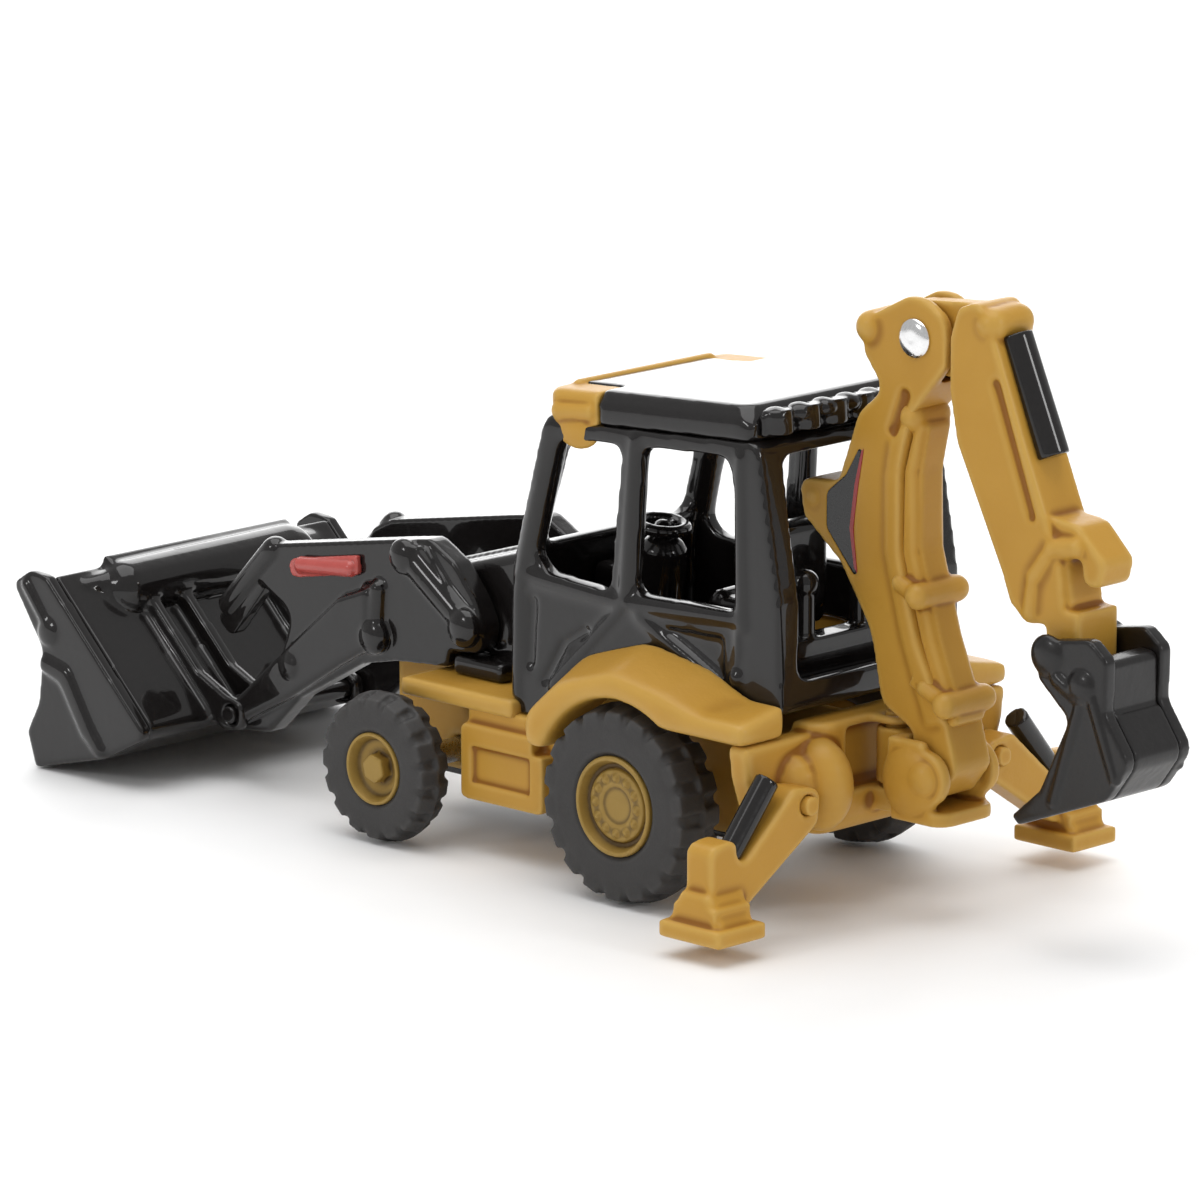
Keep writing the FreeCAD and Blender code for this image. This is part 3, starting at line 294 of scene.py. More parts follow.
def plate(outline, near, far, edge=0.25):
    """A plate with its outline in X and Z, from one Y to another, with soft edges, in millimetres."""
    nothing_selected()
    bpy.ops.mesh.primitive_circle_add(vertices=len(outline), fill_type="NGON")
    piece = made_last()
    for corner, (x, z) in zip(piece.data.vertices, outline):
        corner.co = Vector((x, near, z)) * millimetre
    bpy.ops.object.mode_set(mode="EDIT")
    bpy.ops.mesh.select_all(action="SELECT")
    thickness = (0, (far - near) * millimetre, 0)
    bpy.ops.mesh.extrude_region_move(TRANSFORM_OT_translate={"value": thickness})
    bpy.ops.mesh.select_all(action="SELECT")
    bpy.ops.mesh.normals_make_consistent(inside=False)
    bpy.ops.object.mode_set(mode="OBJECT")
    return softened(piece, edge, 3) if edge else piece


def copied(shape):
    """A second shape just like the first."""
    copy = shape.copy()
    copy.data = shape.data.copy()
    scene.collection.objects.link(copy)
    return copy


def mirrored(shape):
    """Moves a shape over to the other side and turns its faces outwards again."""
    shape.scale = (1, -1, 1)
    flattened(shape)
    bpy.ops.object.mode_set(mode="EDIT")
    bpy.ops.mesh.select_all(action="SELECT")
    bpy.ops.mesh.normals_make_consistent(inside=False)
    bpy.ops.object.mode_set(mode="OBJECT")
    return shape


def other_side(shapes):
    """The shapes on the left-hand side, and the same again on the right."""
    return shapes + [mirrored(copied(shape)) for shape in shapes]


def placed(piece, finish, *nodes):
    """Paints a finished piece and puts it in the place of the designed pieces it stands for."""
    piece.data.materials.clear()
    piece.data.materials.append(finish)
    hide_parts(*nodes)
    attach(piece, body_of[nodes[0]])
    return piece


def cast(node, finish, grain=0.15, passes=8, lumps=(), cuts=()):
    """The casting as it comes from the mould: the designed solid with its raised and sunken details,
    and with all its edges melted round."""
    nothing_selected()
    piece = copied(frame["nodes"][node])
    piece.name = "cast_" + node
    piece.select_set(True)
    bpy.context.view_layer.objects.active = piece
    bpy.ops.object.mode_set(mode="EDIT")
    bpy.ops.mesh.select_all(action="SELECT")
    bpy.ops.mesh.remove_doubles(threshold=0.002 * millimetre)
    bpy.ops.object.mode_set(mode="OBJECT")
    for lump in lumps:
        lump.select_set(True)
    if lumps:
        bpy.context.view_layer.objects.active = piece
        bpy.ops.object.join()
    melted(piece, grain, 1 if cuts else passes)
    for cut in cuts:
        sink = piece.modifiers.new("sink", "BOOLEAN")
        sink.operation = "DIFFERENCE"
        sink.object = cut
        bpy.ops.object.modifier_apply(modifier="sink")
        bpy.data.objects.remove(cut)
    if cuts:
        melted(piece, grain, passes)
    bpy.ops.object.shade_smooth()
    return placed(piece, finish, node)


smoothing = 0.5
settling_passes = 24
full_bend = 0.16 * millimetre


def melted(piece, grain, passes):
    """Turns a piece into one even skin of grains that wide, and rounds its edges."""
    bpy.context.view_layer.objects.active = piece
    skin = piece.modifiers.new("skin", "REMESH")
    skin.mode = "VOXEL"
    skin.voxel_size = grain * millimetre
    melt = piece.modifiers.new("melt", "SMOOTH")
    melt.factor = smoothing
    melt.iterations = passes
    for modifier in ("skin", "melt"):
        bpy.ops.object.modifier_apply(modifier=modifier)
    note_bends(piece)


def note_bends(piece):
    """Notes on each corner how far it lies in a hollow, above 0.5, or on a ridge, below 0.5: a strong
    smoothing would move it out or in by that much."""
    ease = piece.modifiers.new("ease", "SMOOTH")
    ease.factor = smoothing
    ease.iterations = settling_passes
    settled = piece.evaluated_get(bpy.context.evaluated_depsgraph_get()).to_mesh()
    count = len(piece.data.vertices)
    before, after, facing = (numpy.empty(3 * count) for _ in range(3))
    piece.data.vertices.foreach_get("co", before)
    settled.vertices.foreach_get("co", after)
    piece.data.vertices.foreach_get("normal", facing)
    moved = ((after - before) * facing).reshape(count, 3).sum(axis=1)
    piece.modifiers.remove(ease)
    bend = piece.data.attributes.get("bend") or piece.data.attributes.new("bend", "FLOAT", "POINT")
    bend.data.foreach_set("value", numpy.clip(0.5 + moved / full_bend, 0.0, 1.0))


def mustard_enamel():
    """Satin mustard enamel, with painted shade that makes it browner in inside corners, and paler along
    outside edges.
    """
    paint = Finish("mustard_enamel", coat_roughness=0.25, coat_ior=1.4, specular_ior_level=0.18)
    cloud = paint.speckle(6 * millimetre, 3.0)
    peel = paint.speckle(0.9 * millimetre)
    grain = paint.speckle(0.25 * millimetre, 4.0)
    in_hollows = paint.hollows(0.02, 0.38)
    on_ridges = paint.ridges(0.08, 0.6)
    deep_mustard = (0.46, 0.235, 0.030, 1.0)
    light_mustard = (0.56, 0.31, 0.052, 1.0)
    brown = (0.20, 0.062, 0.007, 1.0)
    pale_mustard = (0.62, 0.40, 0.11, 1.0)
    tone = paint.blend(cloud, deep_mustard, light_mustard)
    # Painted shade: the mustard turns brown in inside corners, where the bend mask is high.
    tone = paint.blend(0.8 * in_hollows, tone, brown)
    # Paler mustard along outside edges.
    tone = paint.blend(0.5 * on_ridges, tone, pale_mustard)
    paint.bumps(0.7 * peel + 0.3 * grain, 0.04 * millimetre)
    paint.feed(paint.shader.inputs["Coat Weight"], 0.14 - 0.06 * in_hollows)
    return paint.finished(tone, 0.34 + 0.16 * grain - 0.08 * on_ridges)


def black_enamel(name="black_enamel", gloss=1.0):
    """Black enamel under a thick clear coat, which gloss makes deeper."""
    paint = Finish(name, coat_roughness=0.03, coat_ior=1.5, specular_ior_level=0.45 - 0.35 * gloss)
    wave = paint.speckle(2.4 * millimetre)
    peel = paint.speckle(0.5 * millimetre)
    dust = paint.speckle(0.3 * millimetre, 5.0)
    in_hollows = paint.hollows(0.05, 0.5)
    jet = (0.006, 0.005, 0.005, 1.0)
    dusty_black = (0.012, 0.0105, 0.010, 1.0)
    tone = paint.blend(dust, jet, dusty_black)
    paint.bumps(0.8 * wave + 0.2 * peel, 0.09 * millimetre)
    paint.feed(paint.shader.inputs["Coat Weight"], gloss * (0.75 + 0.25 * in_hollows))
    return paint.finished(tone, 0.34 - 0.16 * gloss + 0.12 * dust)


mustard = mustard_enamel()
gloss_black = black_enamel()
satin_black = black_enamel("satin_black", 0.35)

cast("chassis_frame", mustard, grain=0.18, passes=8)
web_outline = [(-0.2, 8.2), (6.1, 8.2), (6.1, 9.8), (-0.2, 9.8)]
for hand, side in sides:
    web = plate(web_outline, side * 4.5, side * 8.8, edge=0.2)
    cast("step_box_" + hand, mustard, grain=0.12, passes=10, lumps=[web])
for hand, side in sides:
    cast("fender_" + hand, mustard, grain=0.18, passes=64)
cast("belly_plate", satin_black, passes=6)


# The two screws under the belly plate: each is a round steel head with a cross-shaped recess. They are
# sunk flush with the plate and lightly brushed.
def in_millimetres(box):
    """The lowest and highest corner of a designed piece, in millimetres."""
    return [Vector(corner) / millimetre for corner in box]


def steel(name, tone, roughness):
    """Bare steel: tone is its grey from 0 to 1."""
    metal = Finish(name, metallic=1.0)
    brushed = metal.speckle(0.12 * millimetre, 3.0)
    metal.bumps(brushed, 0.006 * millimetre)
    dull = 0.8 * tone
    colour = metal.blend(brushed, (dull, dull, dull, 1.0), (tone, tone, tone, 1.0))
    return metal.finished(colour, roughness + 0.12 * brushed)


screw_steel = steel("screw_steel", 0.62, 0.28)
recess_reach = 0.55
recess_radius = 0.14
for node in ("base_screw_rear", "base_screw_front"):
    low, high = in_millimetres(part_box(node))
    x = (low.x + high.x) / 2
    slots = [
        bar((x - recess_reach, 0, low.z), (x + recess_reach, 0, low.z), recess_radius),
        bar((x, -recess_reach, low.z), (x, recess_reach, low.z), recess_radius),
    ]
    cast(node, screw_steel, grain=0.06, passes=4, cuts=slots)


# The wheels: each tyre is one soft rubber ring with two staggered rows of chunky lugs, pressed over a
# gold rim. The rear rims have a ring of bolts round a flat hub, the front rims a six-sided hub cap,
# and a plain steel axle runs through the chassis inside each pair.
def turned(profile, centre, steps=64):
    """A piece turned about Y: its profile gives Y and radius from the inside out, in millimetres."""
    nothing_selected()
    bpy.ops.mesh.primitive_circle_add(vertices=len(profile), fill_type="NOTHING")
    piece = made_last()
    for corner, (y, radius) in zip(piece.data.vertices, profile):
        corner.co = Vector((centre[0], y, centre[1] + radius)) * millimetre
    bpy.ops.object.mode_set(mode="EDIT")
    bpy.ops.mesh.select_all(action="SELECT")
    middle = Vector((centre[0], 0, centre[1])) * millimetre
    bpy.ops.mesh.spin(steps=steps, angle=math.tau, center=middle, axis=(0, 1, 0))
    bpy.ops.mesh.select_all(action="SELECT")
    bpy.ops.mesh.remove_doubles(threshold=0.001 * millimetre)
    bpy.ops.mesh.normals_make_consistent(inside=False)
    bpy.ops.object.mode_set(mode="OBJECT")
    return piece


def joined(name, shapes):
    """Several shapes as one piece."""
    nothing_selected()
    for shape in shapes:
        shape.select_set(True)
    bpy.context.view_layer.objects.active = shapes[0]
    bpy.ops.object.join()
    shapes[0].name = name
    return shapes[0]


def rubber():
    """Soft black rubber with a grey bloom, greyer on its raised edges."""
    compound = Finish("tyre_rubber")
    bloom = compound.speckle(2.5 * millimetre, 3.0)
    pores = compound.speckle(0.12 * millimetre, 4.0)
    on_raised_edges = compound.ridges(0.1, 0.7)
    black = (0.022, 0.020, 0.019, 1.0)
    bloom_grey = (0.038, 0.036, 0.035, 1.0)
    edge_grey = (0.075, 0.072, 0.07, 1.0)
    tone = compound.blend(bloom, black, bloom_grey)
    # Greyer along raised edges.
    tone = compound.blend(0.3 * on_raised_edges, tone, edge_grey)
    compound.bumps(pores, 0.015 * millimetre)
    return compound.finished(tone, 0.50 + 0.18 * pores)


def rim_gold():
    """Dull gold paint, with painted shade that darkens it to brown in its hollows."""
    paint = Finish("rim_gold", metallic=0.25)
    cloud = paint.speckle(1.5 * millimetre, 3.0)
    grain = paint.speckle(0.15 * millimetre, 4.0)
    rim_hollow_shade = paint.hollows(0.02, 0.35)
    deep_gold = (0.30, 0.185, 0.035, 1.0)
    light_gold = (0.37, 0.235, 0.05, 1.0)
    rim_shade_brown = (0.05, 0.024, 0.005, 1.0)
    tone = paint.blend(cloud, deep_gold, light_gold)
    # Painted shade: the gold turns dark brown in its hollows.
    tone = paint.blend(0.85 * rim_hollow_shade, tone, rim_shade_brown)
    paint.bumps(grain, 0.012 * millimetre)
    return paint.finished(tone, 0.38 + 0.2 * grain)


tyre_rubber = rubber()
gold = rim_gold()


def around(shape, centre, count, offset=0.0):
    """Copies of a shape spaced evenly round a wheel."""
    middle = Vector((centre[0], 0, centre[1])) * millimetre
    ring = []
    for number in range(count):
        copy = copied(shape)
        copy.location = middle
        copy.rotation_euler = (0, math.tau * (number + offset) / count, 0)
        ring.append(flattened(copy))
    bpy.data.objects.remove(shape)
    return ring


def across(node):
    """The axle of a round piece in X and Z, its radius and its two ends in Y, in millimetres."""
    low, high = in_millimetres(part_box(node))
    centre = ((low.x + high.x) / 2, (low.z + high.z) / 2)
    return centre, (high.z - low.z) / 2, low.y, high.y


lug_height = 0.42
lug_share = 0.33
shoulder_drop = 0.38


def tyre(node, lug_count, rim_radius):
    """A tyre: a ring with its two rows of lugs, half a lug apart."""
    centre, radius, near, far = across(node)
    middle = (near + far) / 2
    half = (far - near) / 2
    tread = radius - lug_height
    profile = [
        (middle - 0.80 * half, rim_radius), (middle + 0.80 * half, rim_radius),
        (middle + 0.97 * half, rim_radius + 0.35), (middle + half - 0.02, (radius + rim_radius) / 2),
        (middle + 0.93 * half, tread - 0.45), (middle + 0.72 * half, tread - 0.08), (middle, tread + 0.06),
        (middle - 0.72 * half, tread - 0.08), (middle - 0.93 * half, tread - 0.45),
        (middle - half + 0.02, (radius + rim_radius) / 2), (middle - 0.97 * half, rim_radius + 0.35),
    ]
    shapes = [turned(profile, centre)]
    length = math.tau * radius / lug_count * lug_share
    for side, offset in ((1, 0.0), (-1, 0.5)):
        outline = [
            (-length, tread - 0.9), (length, tread - 0.9),
            (0.88 * length, radius - 0.03), (-0.88 * length, radius - 0.03),
        ]
        ends = sorted((middle - 0.06 * half * side, middle + 0.985 * half * side))
        lug = plate(outline, *ends, edge=0.12)
        outer_y = (middle + 0.8 * half * side) * millimetre
        shoulder = [
            corner for corner in lug.data.vertices
            if (corner.co.y - outer_y) * side > 0 and corner.co.z > tread * millimetre
        ]
        stretch_faces(lug, shoulder, (0, 0, -shoulder_drop * millimetre))
        shapes += around(lug, centre, lug_count, offset)
    piece = joined("moulded_" + node, shapes)
    melted(piece, 0.12, 5)
    bpy.ops.object.shade_smooth()
    return placed(piece, tyre_rubber, node)


bolt_count = 12
hub_turn = math.radians(12)


def rim(node, six_sided):
    """A rim with its outer face towards its own side: a six-sided hub, or a ring of bolts."""
    centre, radius, near, far = across(node)
    side = 1 if near > 0 else -1
    inner, outer = sorted((abs(near), abs(far)))
    if six_sided:
        face = [(outer - 0.75, radius * 0.78), (outer - 0.95, radius * 0.5), (outer - 0.95, 0.0)]
    else:
        face = [
            (outer - 0.45, radius * 0.86), (outer - 0.72, radius * 0.82), (outer - 0.72, radius * 0.74),
            (outer - 0.42, radius * 0.71), (outer - 0.42, radius * 0.40),
            (outer - 0.54, radius * 0.37), (outer - 0.54, 0.0),
        ]
    profile = [
        (inner, 0.0), (inner, radius), (outer - 0.1, radius),
        (outer, radius * 0.97), (outer, radius * 0.91), *face,
    ]
    shapes = [turned([(side * y, height) for y, height in profile], centre)]
    if six_sided:
        nothing_selected()
        bpy.ops.mesh.primitive_cylinder_add(
            vertices=6, radius=radius * 0.42 * millimetre, depth=1.0 * millimetre,
            location=Vector((centre[0], side * (outer - 0.6), centre[1])) * millimetre,
            rotation=(math.pi / 2, hub_turn, 0),
        )
        shapes.append(softened(flattened(made_last()), 0.12, 2))
    else:
        bolt = dome((0, side * (outer - 0.42), radius * 0.56), (0.27, 0.26, 0.27))
        shapes += around(bolt, centre, bolt_count)
    piece = joined("pressed_" + node, shapes)
    melted(piece, 0.09, 3)
    bpy.ops.object.shade_smooth()
    return placed(piece, gold, node)


axle_steel = steel("axle_steel", 0.6, 0.22)
for end, lug_count, rim_radius in (("rear", 18, 3.2), ("front", 16, 2.35)):
    cast(end + "_axle", axle_steel, grain=0.12, passes=4)
    for hand, side in sides:
        tyre(f"{end}_tyre_{hand}", lug_count, rim_radius)
        rim(f"{end}_rim_{hand}", end == "front")


# The engine cover: a casting under thick gloss black enamel that slopes to the front. A satin black
# grille of level slats closes its nose, and a pin through its brackets carries the loader arms.
cast("hood", gloss_black, grain=0.18, passes=10)
slat_count = 5
slat_spacing = 0.75
slat_radius = 0.16
grille_low, grille_high = in_millimetres(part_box("grille"))
slat_x = grille_high.x - slat_radius
slats = []
for step in range(slat_count):
    z = grille_low.z + 0.45 + step * slat_spacing
    slats.append(bar((slat_x, grille_low.y + 0.5, z), (slat_x, grille_high.y - 0.5, z), slat_radius))
cast("grille", satin_black, grain=0.08, passes=4, lumps=slats)
cast("arm_pivot_pin", gloss_black, grain=0.1, passes=5)


# The cab is an open casting with fat rounded posts. Below the windows a belt moulding runs over two
# pressed hollows and a narrow slot, and a handle boss stands at the rear. Its thick black enamel has
# drawn every edge round. The roof is a flat slab with mustard front corners and a scalloped rear edge.
cab_y = in_millimetres(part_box("cab_frame"))[1].y
belt = [
    bar((1.6, cab_y - 0.15, 19.1), (-7.4, cab_y - 0.15, 18.6), 0.5),
    bar((-7.4, cab_y - 0.15, 18.6), (-17.6, cab_y - 0.15, 19.1), 0.5),
    bar((-7.7, cab_y - 0.45, 18.8), (-8.4, cab_y - 0.55, 29.2), 0.78),
    bar((1.55, cab_y - 0.45, 18.6), (-1.0, cab_y - 0.75, 29.0), 0.85),
    bar((1.7, cab_y - 0.45, 18.8), (1.9, cab_y - 0.45, 11.2), 0.75),
    bar((-17.9, cab_y - 0.5, 18.8), (-17.6, cab_y - 0.6, 29.2), 0.85),
    dome((-17.4, cab_y + 0.05, 15.3), (0.55, 0.45, 0.55)),
    bar((-17.6, cab_y - 0.1, 18.4), (-17.4, cab_y - 0.1, 15.3), 0.33),
    bar((-8.9, cab_y - 0.15, 17.9), (-16.6, cab_y - 0.15, 13.9), 0.4),
    bar((-7.6, cab_y - 0.15, 18.4), (-1.2, cab_y - 0.1, 12.2), 0.42),
]
hollows = [
    bar((0.5, cab_y + 0.1, 17.4), (0.75, cab_y + 0.1, 13.3), 0.42),
    bar((-4.2, cab_y + 0.1, 16.2), (-2.2, cab_y + 0.1, 15.0), 0.42),
    bar((-2.2, cab_y + 0.1, 15.0), (-0.6, cab_y + 0.1, 12.4), 0.42),
    plate([(-10.4, 17.6), (-16.2, 17.7), (-16.3, 14.8), (-13.4, 16.2)], cab_y - 0.4, cab_y + 1.0, edge=0.15),
]
cast("cab_frame", gloss_black, grain=0.19, passes=9, lumps=other_side(belt), cuts=other_side(hollows))
skirt = plate(
    [(-5.6, 29.9), (-18.3, 30.3), (-18.5, 31.6), (-5.4, 30.7)], 0.15 - cab_y, cab_y - 0.15, edge=0.3
)
well = plate([(-1.0, 27.0), (-17.0, 27.8), (-17.0, 29.9), (-1.0, 29.0)], -7.2, 7.2, edge=0.0)
cast("cab_roof", gloss_black, grain=0.17, passes=9, lumps=[skirt], cuts=[well])
corners = other_side([
    dome((-3.1, cab_y - 0.45, 29.1), (1.9, 0.55, 1.3)),
    bar((-1.7, cab_y - 0.5, 30.1), (-4.3, cab_y - 0.5, 30.4), 0.75),
])
corners.append(bar((-1.35, -6.0, 31.42), (-1.35, 6.0, 31.42), 0.42))
cast("roof_front_trim", mustard, grain=0.12, passes=8, lumps=corners)
scallop_count = 7
trim_low, trim_high = in_millimetres(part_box("roof_rear_trim"))
scallop_width = (trim_high.y - trim_low.y) / scallop_count
scallops = []
for step in range(scallop_count):
    scallop_y = trim_low.y + (step + 0.5) * scallop_width
    scallops.append(dome((trim_low.x + 1.0, scallop_y, trim_high.z - 0.5), (1.0, 0.9, 0.62)))
cast("roof_rear_trim", gloss_black, grain=0.12, passes=10, lumps=scallops)


# Inside the cab: a moulded seat, a steering wheel lying on a thick column, and a rear console with two
# control towers. They are one-colour gloss black mouldings with rounded tops.
roll_radius = 0.75
seat_low, seat_high = in_millimetres(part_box("seat"))
cushion = [
    bar((x, seat_low.y + 0.8, z), (x, seat_high.y - 0.8, z), roll_radius)
    for x, z in ((seat_high.x - 0.9, 18.2), (seat_low.x + 1.0, seat_high.z - 0.8))
]
cast("seat", gloss_black, grain=0.14, passes=12, lumps=cushion)
cast("control_console", gloss_black, grain=0.12, passes=8)
column_x = -2.9
wheel_radius = 1.5
wheel_tilt = math.radians(-8)
nothing_selected()
bpy.ops.mesh.primitive_torus_add(
    major_radius=wheel_radius * millimetre, minor_radius=0.42 * millimetre,
    major_segments=40, minor_segments=12,
    location=Vector((column_x, 0, 21.6)) * millimetre, rotation=(0, wheel_tilt, 0),
)
wheel = flattened(made_last())
dashboard = [(-2.2, 12.1), (1.1, 12.1), (1.1, 18.5), (0.7, 19.1), (-1.2, 19.0), (-2.2, 17.6)]
steering = joined("steering_column", [
    plate(dashboard, -2.4, 2.4, edge=0.4),
    bar((column_x + 0.7, 0, 14.2), (column_x, 0, 19.5), 1.7),
    wheel,
    bar((column_x, -1.4, 21.5), (column_x, 1.4, 21.5), 0.3),
    dome((column_x, 0, 21.4), (0.7, 0.7, 0.6)),
])
melted(steering, 0.12, 6)
bpy.ops.object.shade_smooth()
placed(steering, gloss_black, "steering_console")


# The loader arms: two castings under thick gloss black enamel, tied by a cross tube. Each has a raised
# link bar at its rear, a lobe at mid-length, a raised band down its lower limb, a lever towards the
# bucket and a plain light red brace bar.
arm_y = in_millimetres(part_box("loader_arm_left"))[1].y
band_outline = [
    (17.3, 15.4), (20.2, 14.3), (24.6, 10.6), (30.6, 5.4),
    (29.9, 4.0), (25.0, 6.6), (20.2, 9.6), (17.2, 11.3),
]


def arm_details():
    """The raised details on the outer side of the left arm."""
    return [
        bar((14.0, arm_y - 0.6, 17.9), (8.7, arm_y - 0.6, 14.1), 1.15),
        dome((14.2, arm_y, 17.9), (1.25, 0.75, 1.25)),
        dome((8.75, arm_y, 14.0), (1.35, 0.75, 1.35)),
        bar((17.2, arm_y - 0.3, 11.9), (16.9, arm_y - 0.3, 15.2), 0.7),
        dome((17.1, arm_y, 12.1), (1.25, 0.7, 1.25)),
        plate(band_outline, arm_y - 0.4, arm_y + 0.45, edge=0.35),
        dome((24.7, arm_y + 0.25, 8.9), (0.9, 0.5, 0.9)),
        dome((30.25, arm_y, 4.7), (1.15, 0.15, 1.15)),
        bar((27.4, arm_y - 0.95, 16.2), (31.7, arm_y - 0.95, 11.9), 0.95),
    ]


for hand, side in sides:
    details = arm_details()
    if side < 0:
        details = [mirrored(shape) for shape in details]
    cast("loader_arm_" + hand, gloss_black, grain=0.13, passes=9, lumps=details)
cast("arm_cross_tube", gloss_black, passes=5)
cast("bucket_pin", gloss_black, grain=0.1, passes=4)


def red_enamel():
    """Light red enamel, with painted shade that darkens it in its hollows."""
    paint = Finish("light_red_enamel", coat_roughness=0.1, coat_ior=1.5, coat_weight=0.5)
    cloud = paint.speckle(1.2 * millimetre, 3.0)
    grain = paint.speckle(0.2 * millimetre, 4.0)
    red_hollow_shade = paint.hollows(0.05, 0.4)
    deep_red = (0.42, 0.045, 0.035, 1.0)
    light_red = (0.52, 0.085, 0.07, 1.0)
    dark_red = (0.10, 0.02, 0.02, 1.0)
    tone = paint.blend(cloud, deep_red, light_red)
    # Painted shade: the red turns dark in its hollows.
    tone = paint.blend(0.5 * red_hollow_shade, tone, dark_red)
    paint.bumps(grain, 0.02 * millimetre)
    return paint.finished(tone, 0.3 + 0.15 * grain)


red = red_enamel()
brace_low, brace_high = in_millimetres(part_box("arm_brace_left"))
for hand, side in sides:
    brace = bar(
        (brace_low.x + 0.75, side * (arm_y - 0.1), brace_high.z - 0.95),
        (brace_high.x - 1.2, side * (arm_y - 0.1), brace_low.z + 0.95), 0.6,
    )
    cast("arm_brace_" + hand, red, grain=0.1, passes=5, lumps=[brace])


# The loader bucket: a welded clam shape. A curved wall with a spill guard runs between two thick side
# plates with a raised rib, slanted rails on its back take the pin, and a hard edge is fixed to the lip.
spill_guard = [bar((39.95, -7.3, 11.9), (39.95, 7.3, 11.9), 2.15)]
spill_guard += other_side([bar((40.3, 8.0, 12.4), (41.6, 12.0, 11.9), 0.95)])
cast("bucket_shell", gloss_black, grain=0.17, passes=14, lumps=spill_guard)
cheek_y = in_millimetres(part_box("bucket_cheek_left"))[1].y
for hand, side in sides:
    ribs = [
        bar((43.4, side * (cheek_y - 0.45), 12.6), (41.6, side * (cheek_y - 0.45), 10.4), 0.45),
        dome((41.3, side * (cheek_y - 0.3), 9.6), (0.95, 0.3, 0.95)),
    ]
    cast("bucket_cheek_" + hand, gloss_black, grain=0.14, passes=12, lumps=ribs)
cast("bucket_edge", gloss_black, grain=0.1, passes=2)


# The rear frame: a mustard casting with a rounded housing, the towers of the stabiliser legs and the
# ears of the upright pin. The swing casting turns on that pin and forks round the foot of the boom.
shoulders = other_side([
    dome((-22.3, 6.0, 8.9), (2.4, 1.85, 3.0)),
    bar((-21.4, 5.7, 9.2), (-21.4, 7.2, 9.2), 2.1),
])
cast("rear_frame", mustard, grain=0.17, passes=15, lumps=shoulders)
bulges = other_side([
    dome((-26.7, 2.3, 9.2), (2.4, 0.95, 2.5)),
    dome((-27.95, 2.6, 9.6), (1.2, 0.75, 1.2)),
])
cast("swing_casting", mustard, grain=0.13, passes=14, lumps=bulges)
for node in ("swing_pin", "boom_foot_pin", "stabiliser_pin_left", "stabiliser_pin_right"):
    cast(node, mustard, grain=0.1, passes=4)


# The boom: a curved box casting, forked at its top for the stick. A long ram with two wide clamps is
# moulded along its rear, and a black panel with a plain red stripe is printed on each side. A bright
# rolled rivet joins the stick to the fork.
boom_y = in_millimetres(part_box("boom"))[1].y
rivet_centre = across("stick_rivet")[0]
eye_disc = [(0.95, 0.0), (0.95, 2.45), (1.15, 2.6), (1.5, 2.6), (1.7, 2.4), (1.7, 0.0)]
top_eye = [
    bar((-22.1, -1.1, 37.3), (-22.1, 1.1, 37.3), 1.15),
    bar((-17.6, -0.8, 25.9), (-17.6, 0.8, 25.9), 1.1),
    *[turned([(side * y, radius) for y, radius in eye_disc], rivet_centre) for hand, side in sides],
    plate(
        [(-25.7, 31.6), (-24.9, 28.6), (-24.9, 23.4), (-26.4, 18.0), (-28.9, 13.2), (-27.4, 12.8),
         (-25.3, 18.0), (-23.8, 23.4), (-23.8, 28.0), (-24.3, 31.0)],
        -boom_y - 0.14, boom_y + 0.14, edge=0.12,
    ),
]
clamps = [
    bar((-26.6, -boom_y, 20.9), (-26.6, boom_y, 20.9), 0.9),
    bar((-28.95, -boom_y, 14.3), (-28.95, boom_y, 14.3), 0.9),
    bar((-25.5, -0.9, 32.0), (-25.5, 0.9, 32.0), 1.0),
    plate(
        [(-26.6, 31.8), (-25.9, 28.6), (-26.0, 23.6), (-27.6, 18.2), (-29.7, 13.2), (-28.6, 12.6),
         (-26.4, 18.0), (-24.8, 23.4), (-24.9, 28.6), (-25.8, 31.8)],
        -1.45, 1.45, edge=0.35,
    ),
]
clamps += other_side([
    bar((-26.5, boom_y - 0.1, 20.95), (-25.0, boom_y - 0.1, 21.5), 0.6),
    bar((-28.8, boom_y - 0.1, 14.4), (-27.2, boom_y - 0.1, 15.1), 0.6),
])
oblong = other_side([bar((-25.2, boom_y + 0.25, 33.4), (-24.3, boom_y + 0.25, 31.2), 0.62)])
cast("boom", mustard, grain=0.14, passes=10, lumps=top_eye, cuts=oblong)
cast("boom_ram", mustard, grain=0.12, passes=8, lumps=clamps)


def printed_film(name, ink, dusty_ink, roughness):
    """A thin glossy print of one ink with a little dust on it."""
    film = Finish(name, coat_roughness=0.06, coat_ior=1.5, coat_weight=0.8, specular_ior_level=0.1)
    dust = film.speckle(0.3 * millimetre, 4.0)
    film.bumps(dust, 0.008 * millimetre)
    return film.finished(film.blend(dust, ink, dusty_ink), roughness + 0.1 * dust)


panel = printed_film("panel_print", (0.006, 0.006, 0.006, 1.0), (0.014, 0.013, 0.013, 1.0), 0.22)
stripe = printed_film("stripe_print", (0.26, 0.016, 0.018, 1.0), (0.36, 0.030, 0.030, 1.0), 0.28)
stripe_outline = [
    (-21.9, 29.6), (-21.45, 27.2), (-21.05, 24.4), (-21.4, 21.6),
    (-21.15, 21.9), (-20.75, 24.4), (-21.15, 27.2), (-21.7, 29.4),
]
for hand, side in sides:
    cast("boom_panel_" + hand, panel, grain=0.06, passes=3)
    line = plate(stripe_outline, side * (boom_y - 0.1), side * (boom_y + 0.03), edge=0.0)
    line.name = "boom_stripe_" + hand
    line.data.materials.append(stripe)
    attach(line, body_of["boom"])

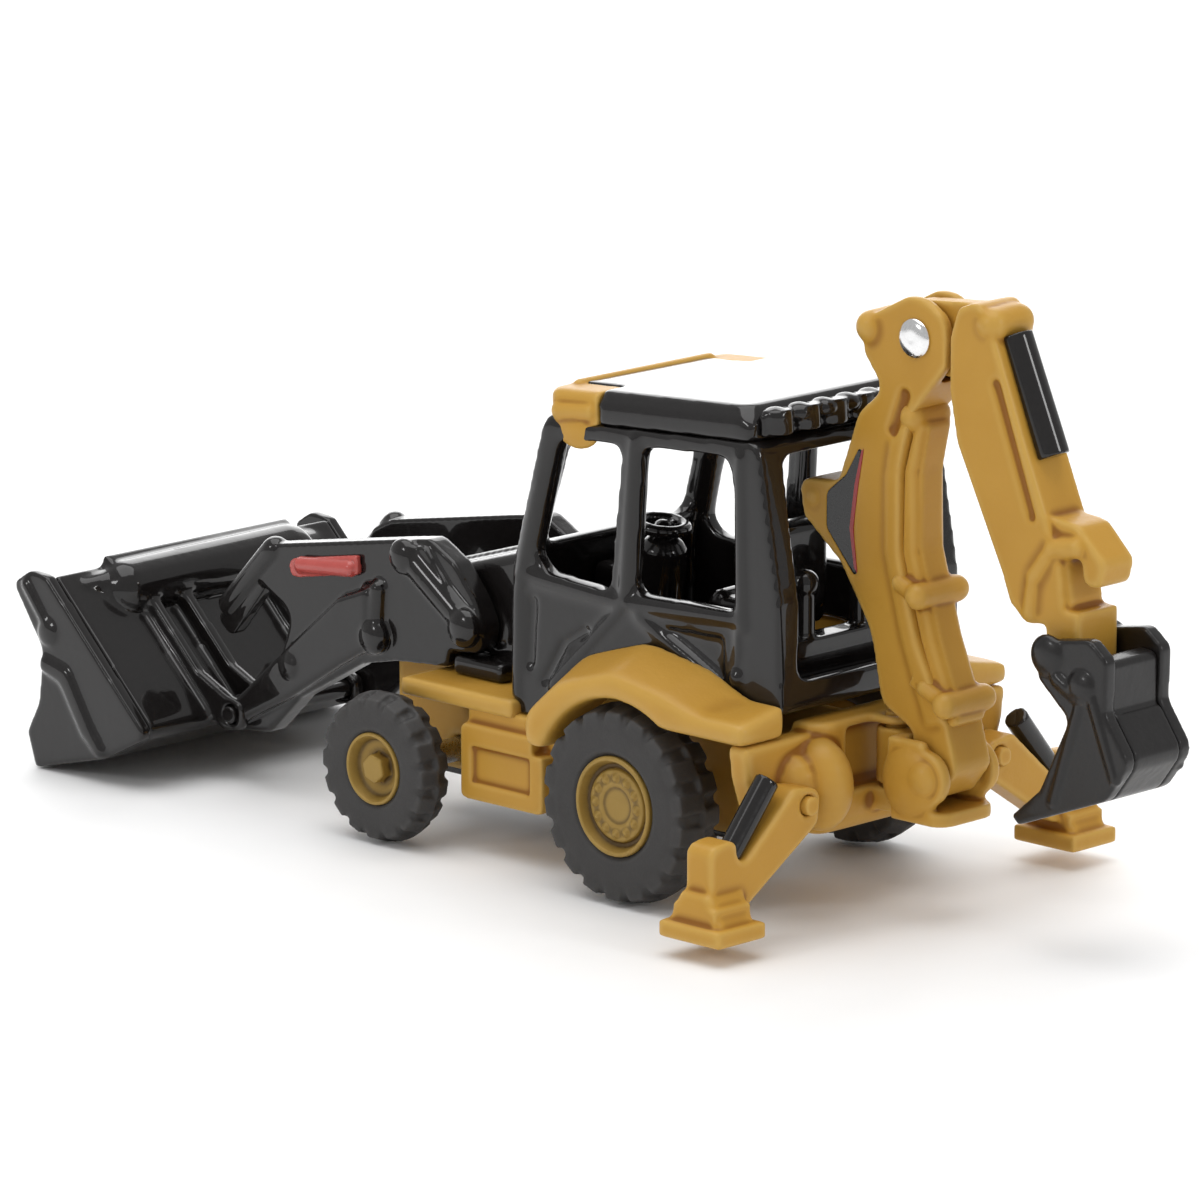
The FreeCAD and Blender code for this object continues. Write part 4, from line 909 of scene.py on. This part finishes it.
rivet_end = in_millimetres(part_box("stick_rivet"))[1].y
head = [
    (rivet_end - 0.5, 0.58), (rivet_end - 0.5, 1.3), (rivet_end - 0.3, 1.28),
    (rivet_end - 0.1, 1.0), (rivet_end, 0.5), (rivet_end - 0.05, 0.0),
]
rivet = turned([(-y, radius) for y, radius in reversed(head)] + head, rivet_centre)
rivet.name = "rolled_rivet"
rounding = rivet.modifiers.new("round", "SUBSURF")
rounding.levels = 2
rounding.render_levels = 2
bpy.ops.object.modifier_apply(modifier="round")
bpy.ops.object.shade_smooth()
placed(rivet, steel("rivet_silver", 0.93, 0.08), "stick_rivet")


# The stick: a tapered mustard casting with a shallow crease down each side, a black ram on its outer
# edge and a hooked guard at its end. A pin through its tail carries the digging bucket.
ears = [bar((-32.0, -1.0, 38.7), (-32.0, 1.0, 38.7), 1.15)]
ears += other_side([
    bar((-35.9, 1.45, 21.4), (-36.2, 1.45, 23.6), 0.75),
    bar((-36.2, 1.45, 23.6), (-37.6, 1.45, 25.6), 0.75),
    bar((-37.6, 1.45, 25.6), (-39.2, 1.3, 25.9), 0.75),
])
crease = other_side([bar((-32.9, 2.0, 35.2), (-35.9, 2.0, 27.4), 0.42)])
cast("stick", mustard, grain=0.14, passes=10, lumps=ears, cuts=crease)
cast("stick_ram", gloss_black, grain=0.1, passes=6)
cast("hoe_pin", gloss_black, grain=0.1, passes=4)


# The digging bucket: a semi-gloss black casting. Two side plates with pin bosses close a curved shell
# with ribs across its back and square teeth along its lip.
for hand, side in sides:
    bosses = [
        dome((-38.4, side * 3.0, 19.3), (1.35, 0.55, 1.35)),
        dome((-41.2, side * 3.0, 17.7), (1.15, 0.55, 1.15)),
        bar((-39.2, side * 2.95, 18.0), (-40.6, side * 2.95, 17.2), 0.5),
        bar((-42.0, side * 2.95, 17.2), (-43.9, side * 2.9, 12.4), 0.42),
        bar((-41.0, side * 2.9, 16.4), (-39.0, side * 2.9, 10.2), 0.42),
    ]
    cast("hoe_side_" + hand, satin_black, grain=0.12, passes=10, lumps=bosses)
cast("hoe_shell", satin_black, grain=0.12, passes=8)


# The stabilisers: each leg is a mustard casting with a stepped pad, which folds up about its pin, and
# a black ram lies over it.
pad_outline = [(-25.3, 2.1), (-20.7, 2.1), (-21.8, 4.3), (-24.2, 4.3)]
for hand, side in sides:
    pad = plate(pad_outline, side * 14.95, side * 18.15, edge=0.3)
    cast("stabiliser_leg_" + hand, mustard, grain=0.13, passes=14, lumps=[pad])
    cast("stabiliser_cylinder_" + hand, gloss_black, grain=0.1, passes=6)
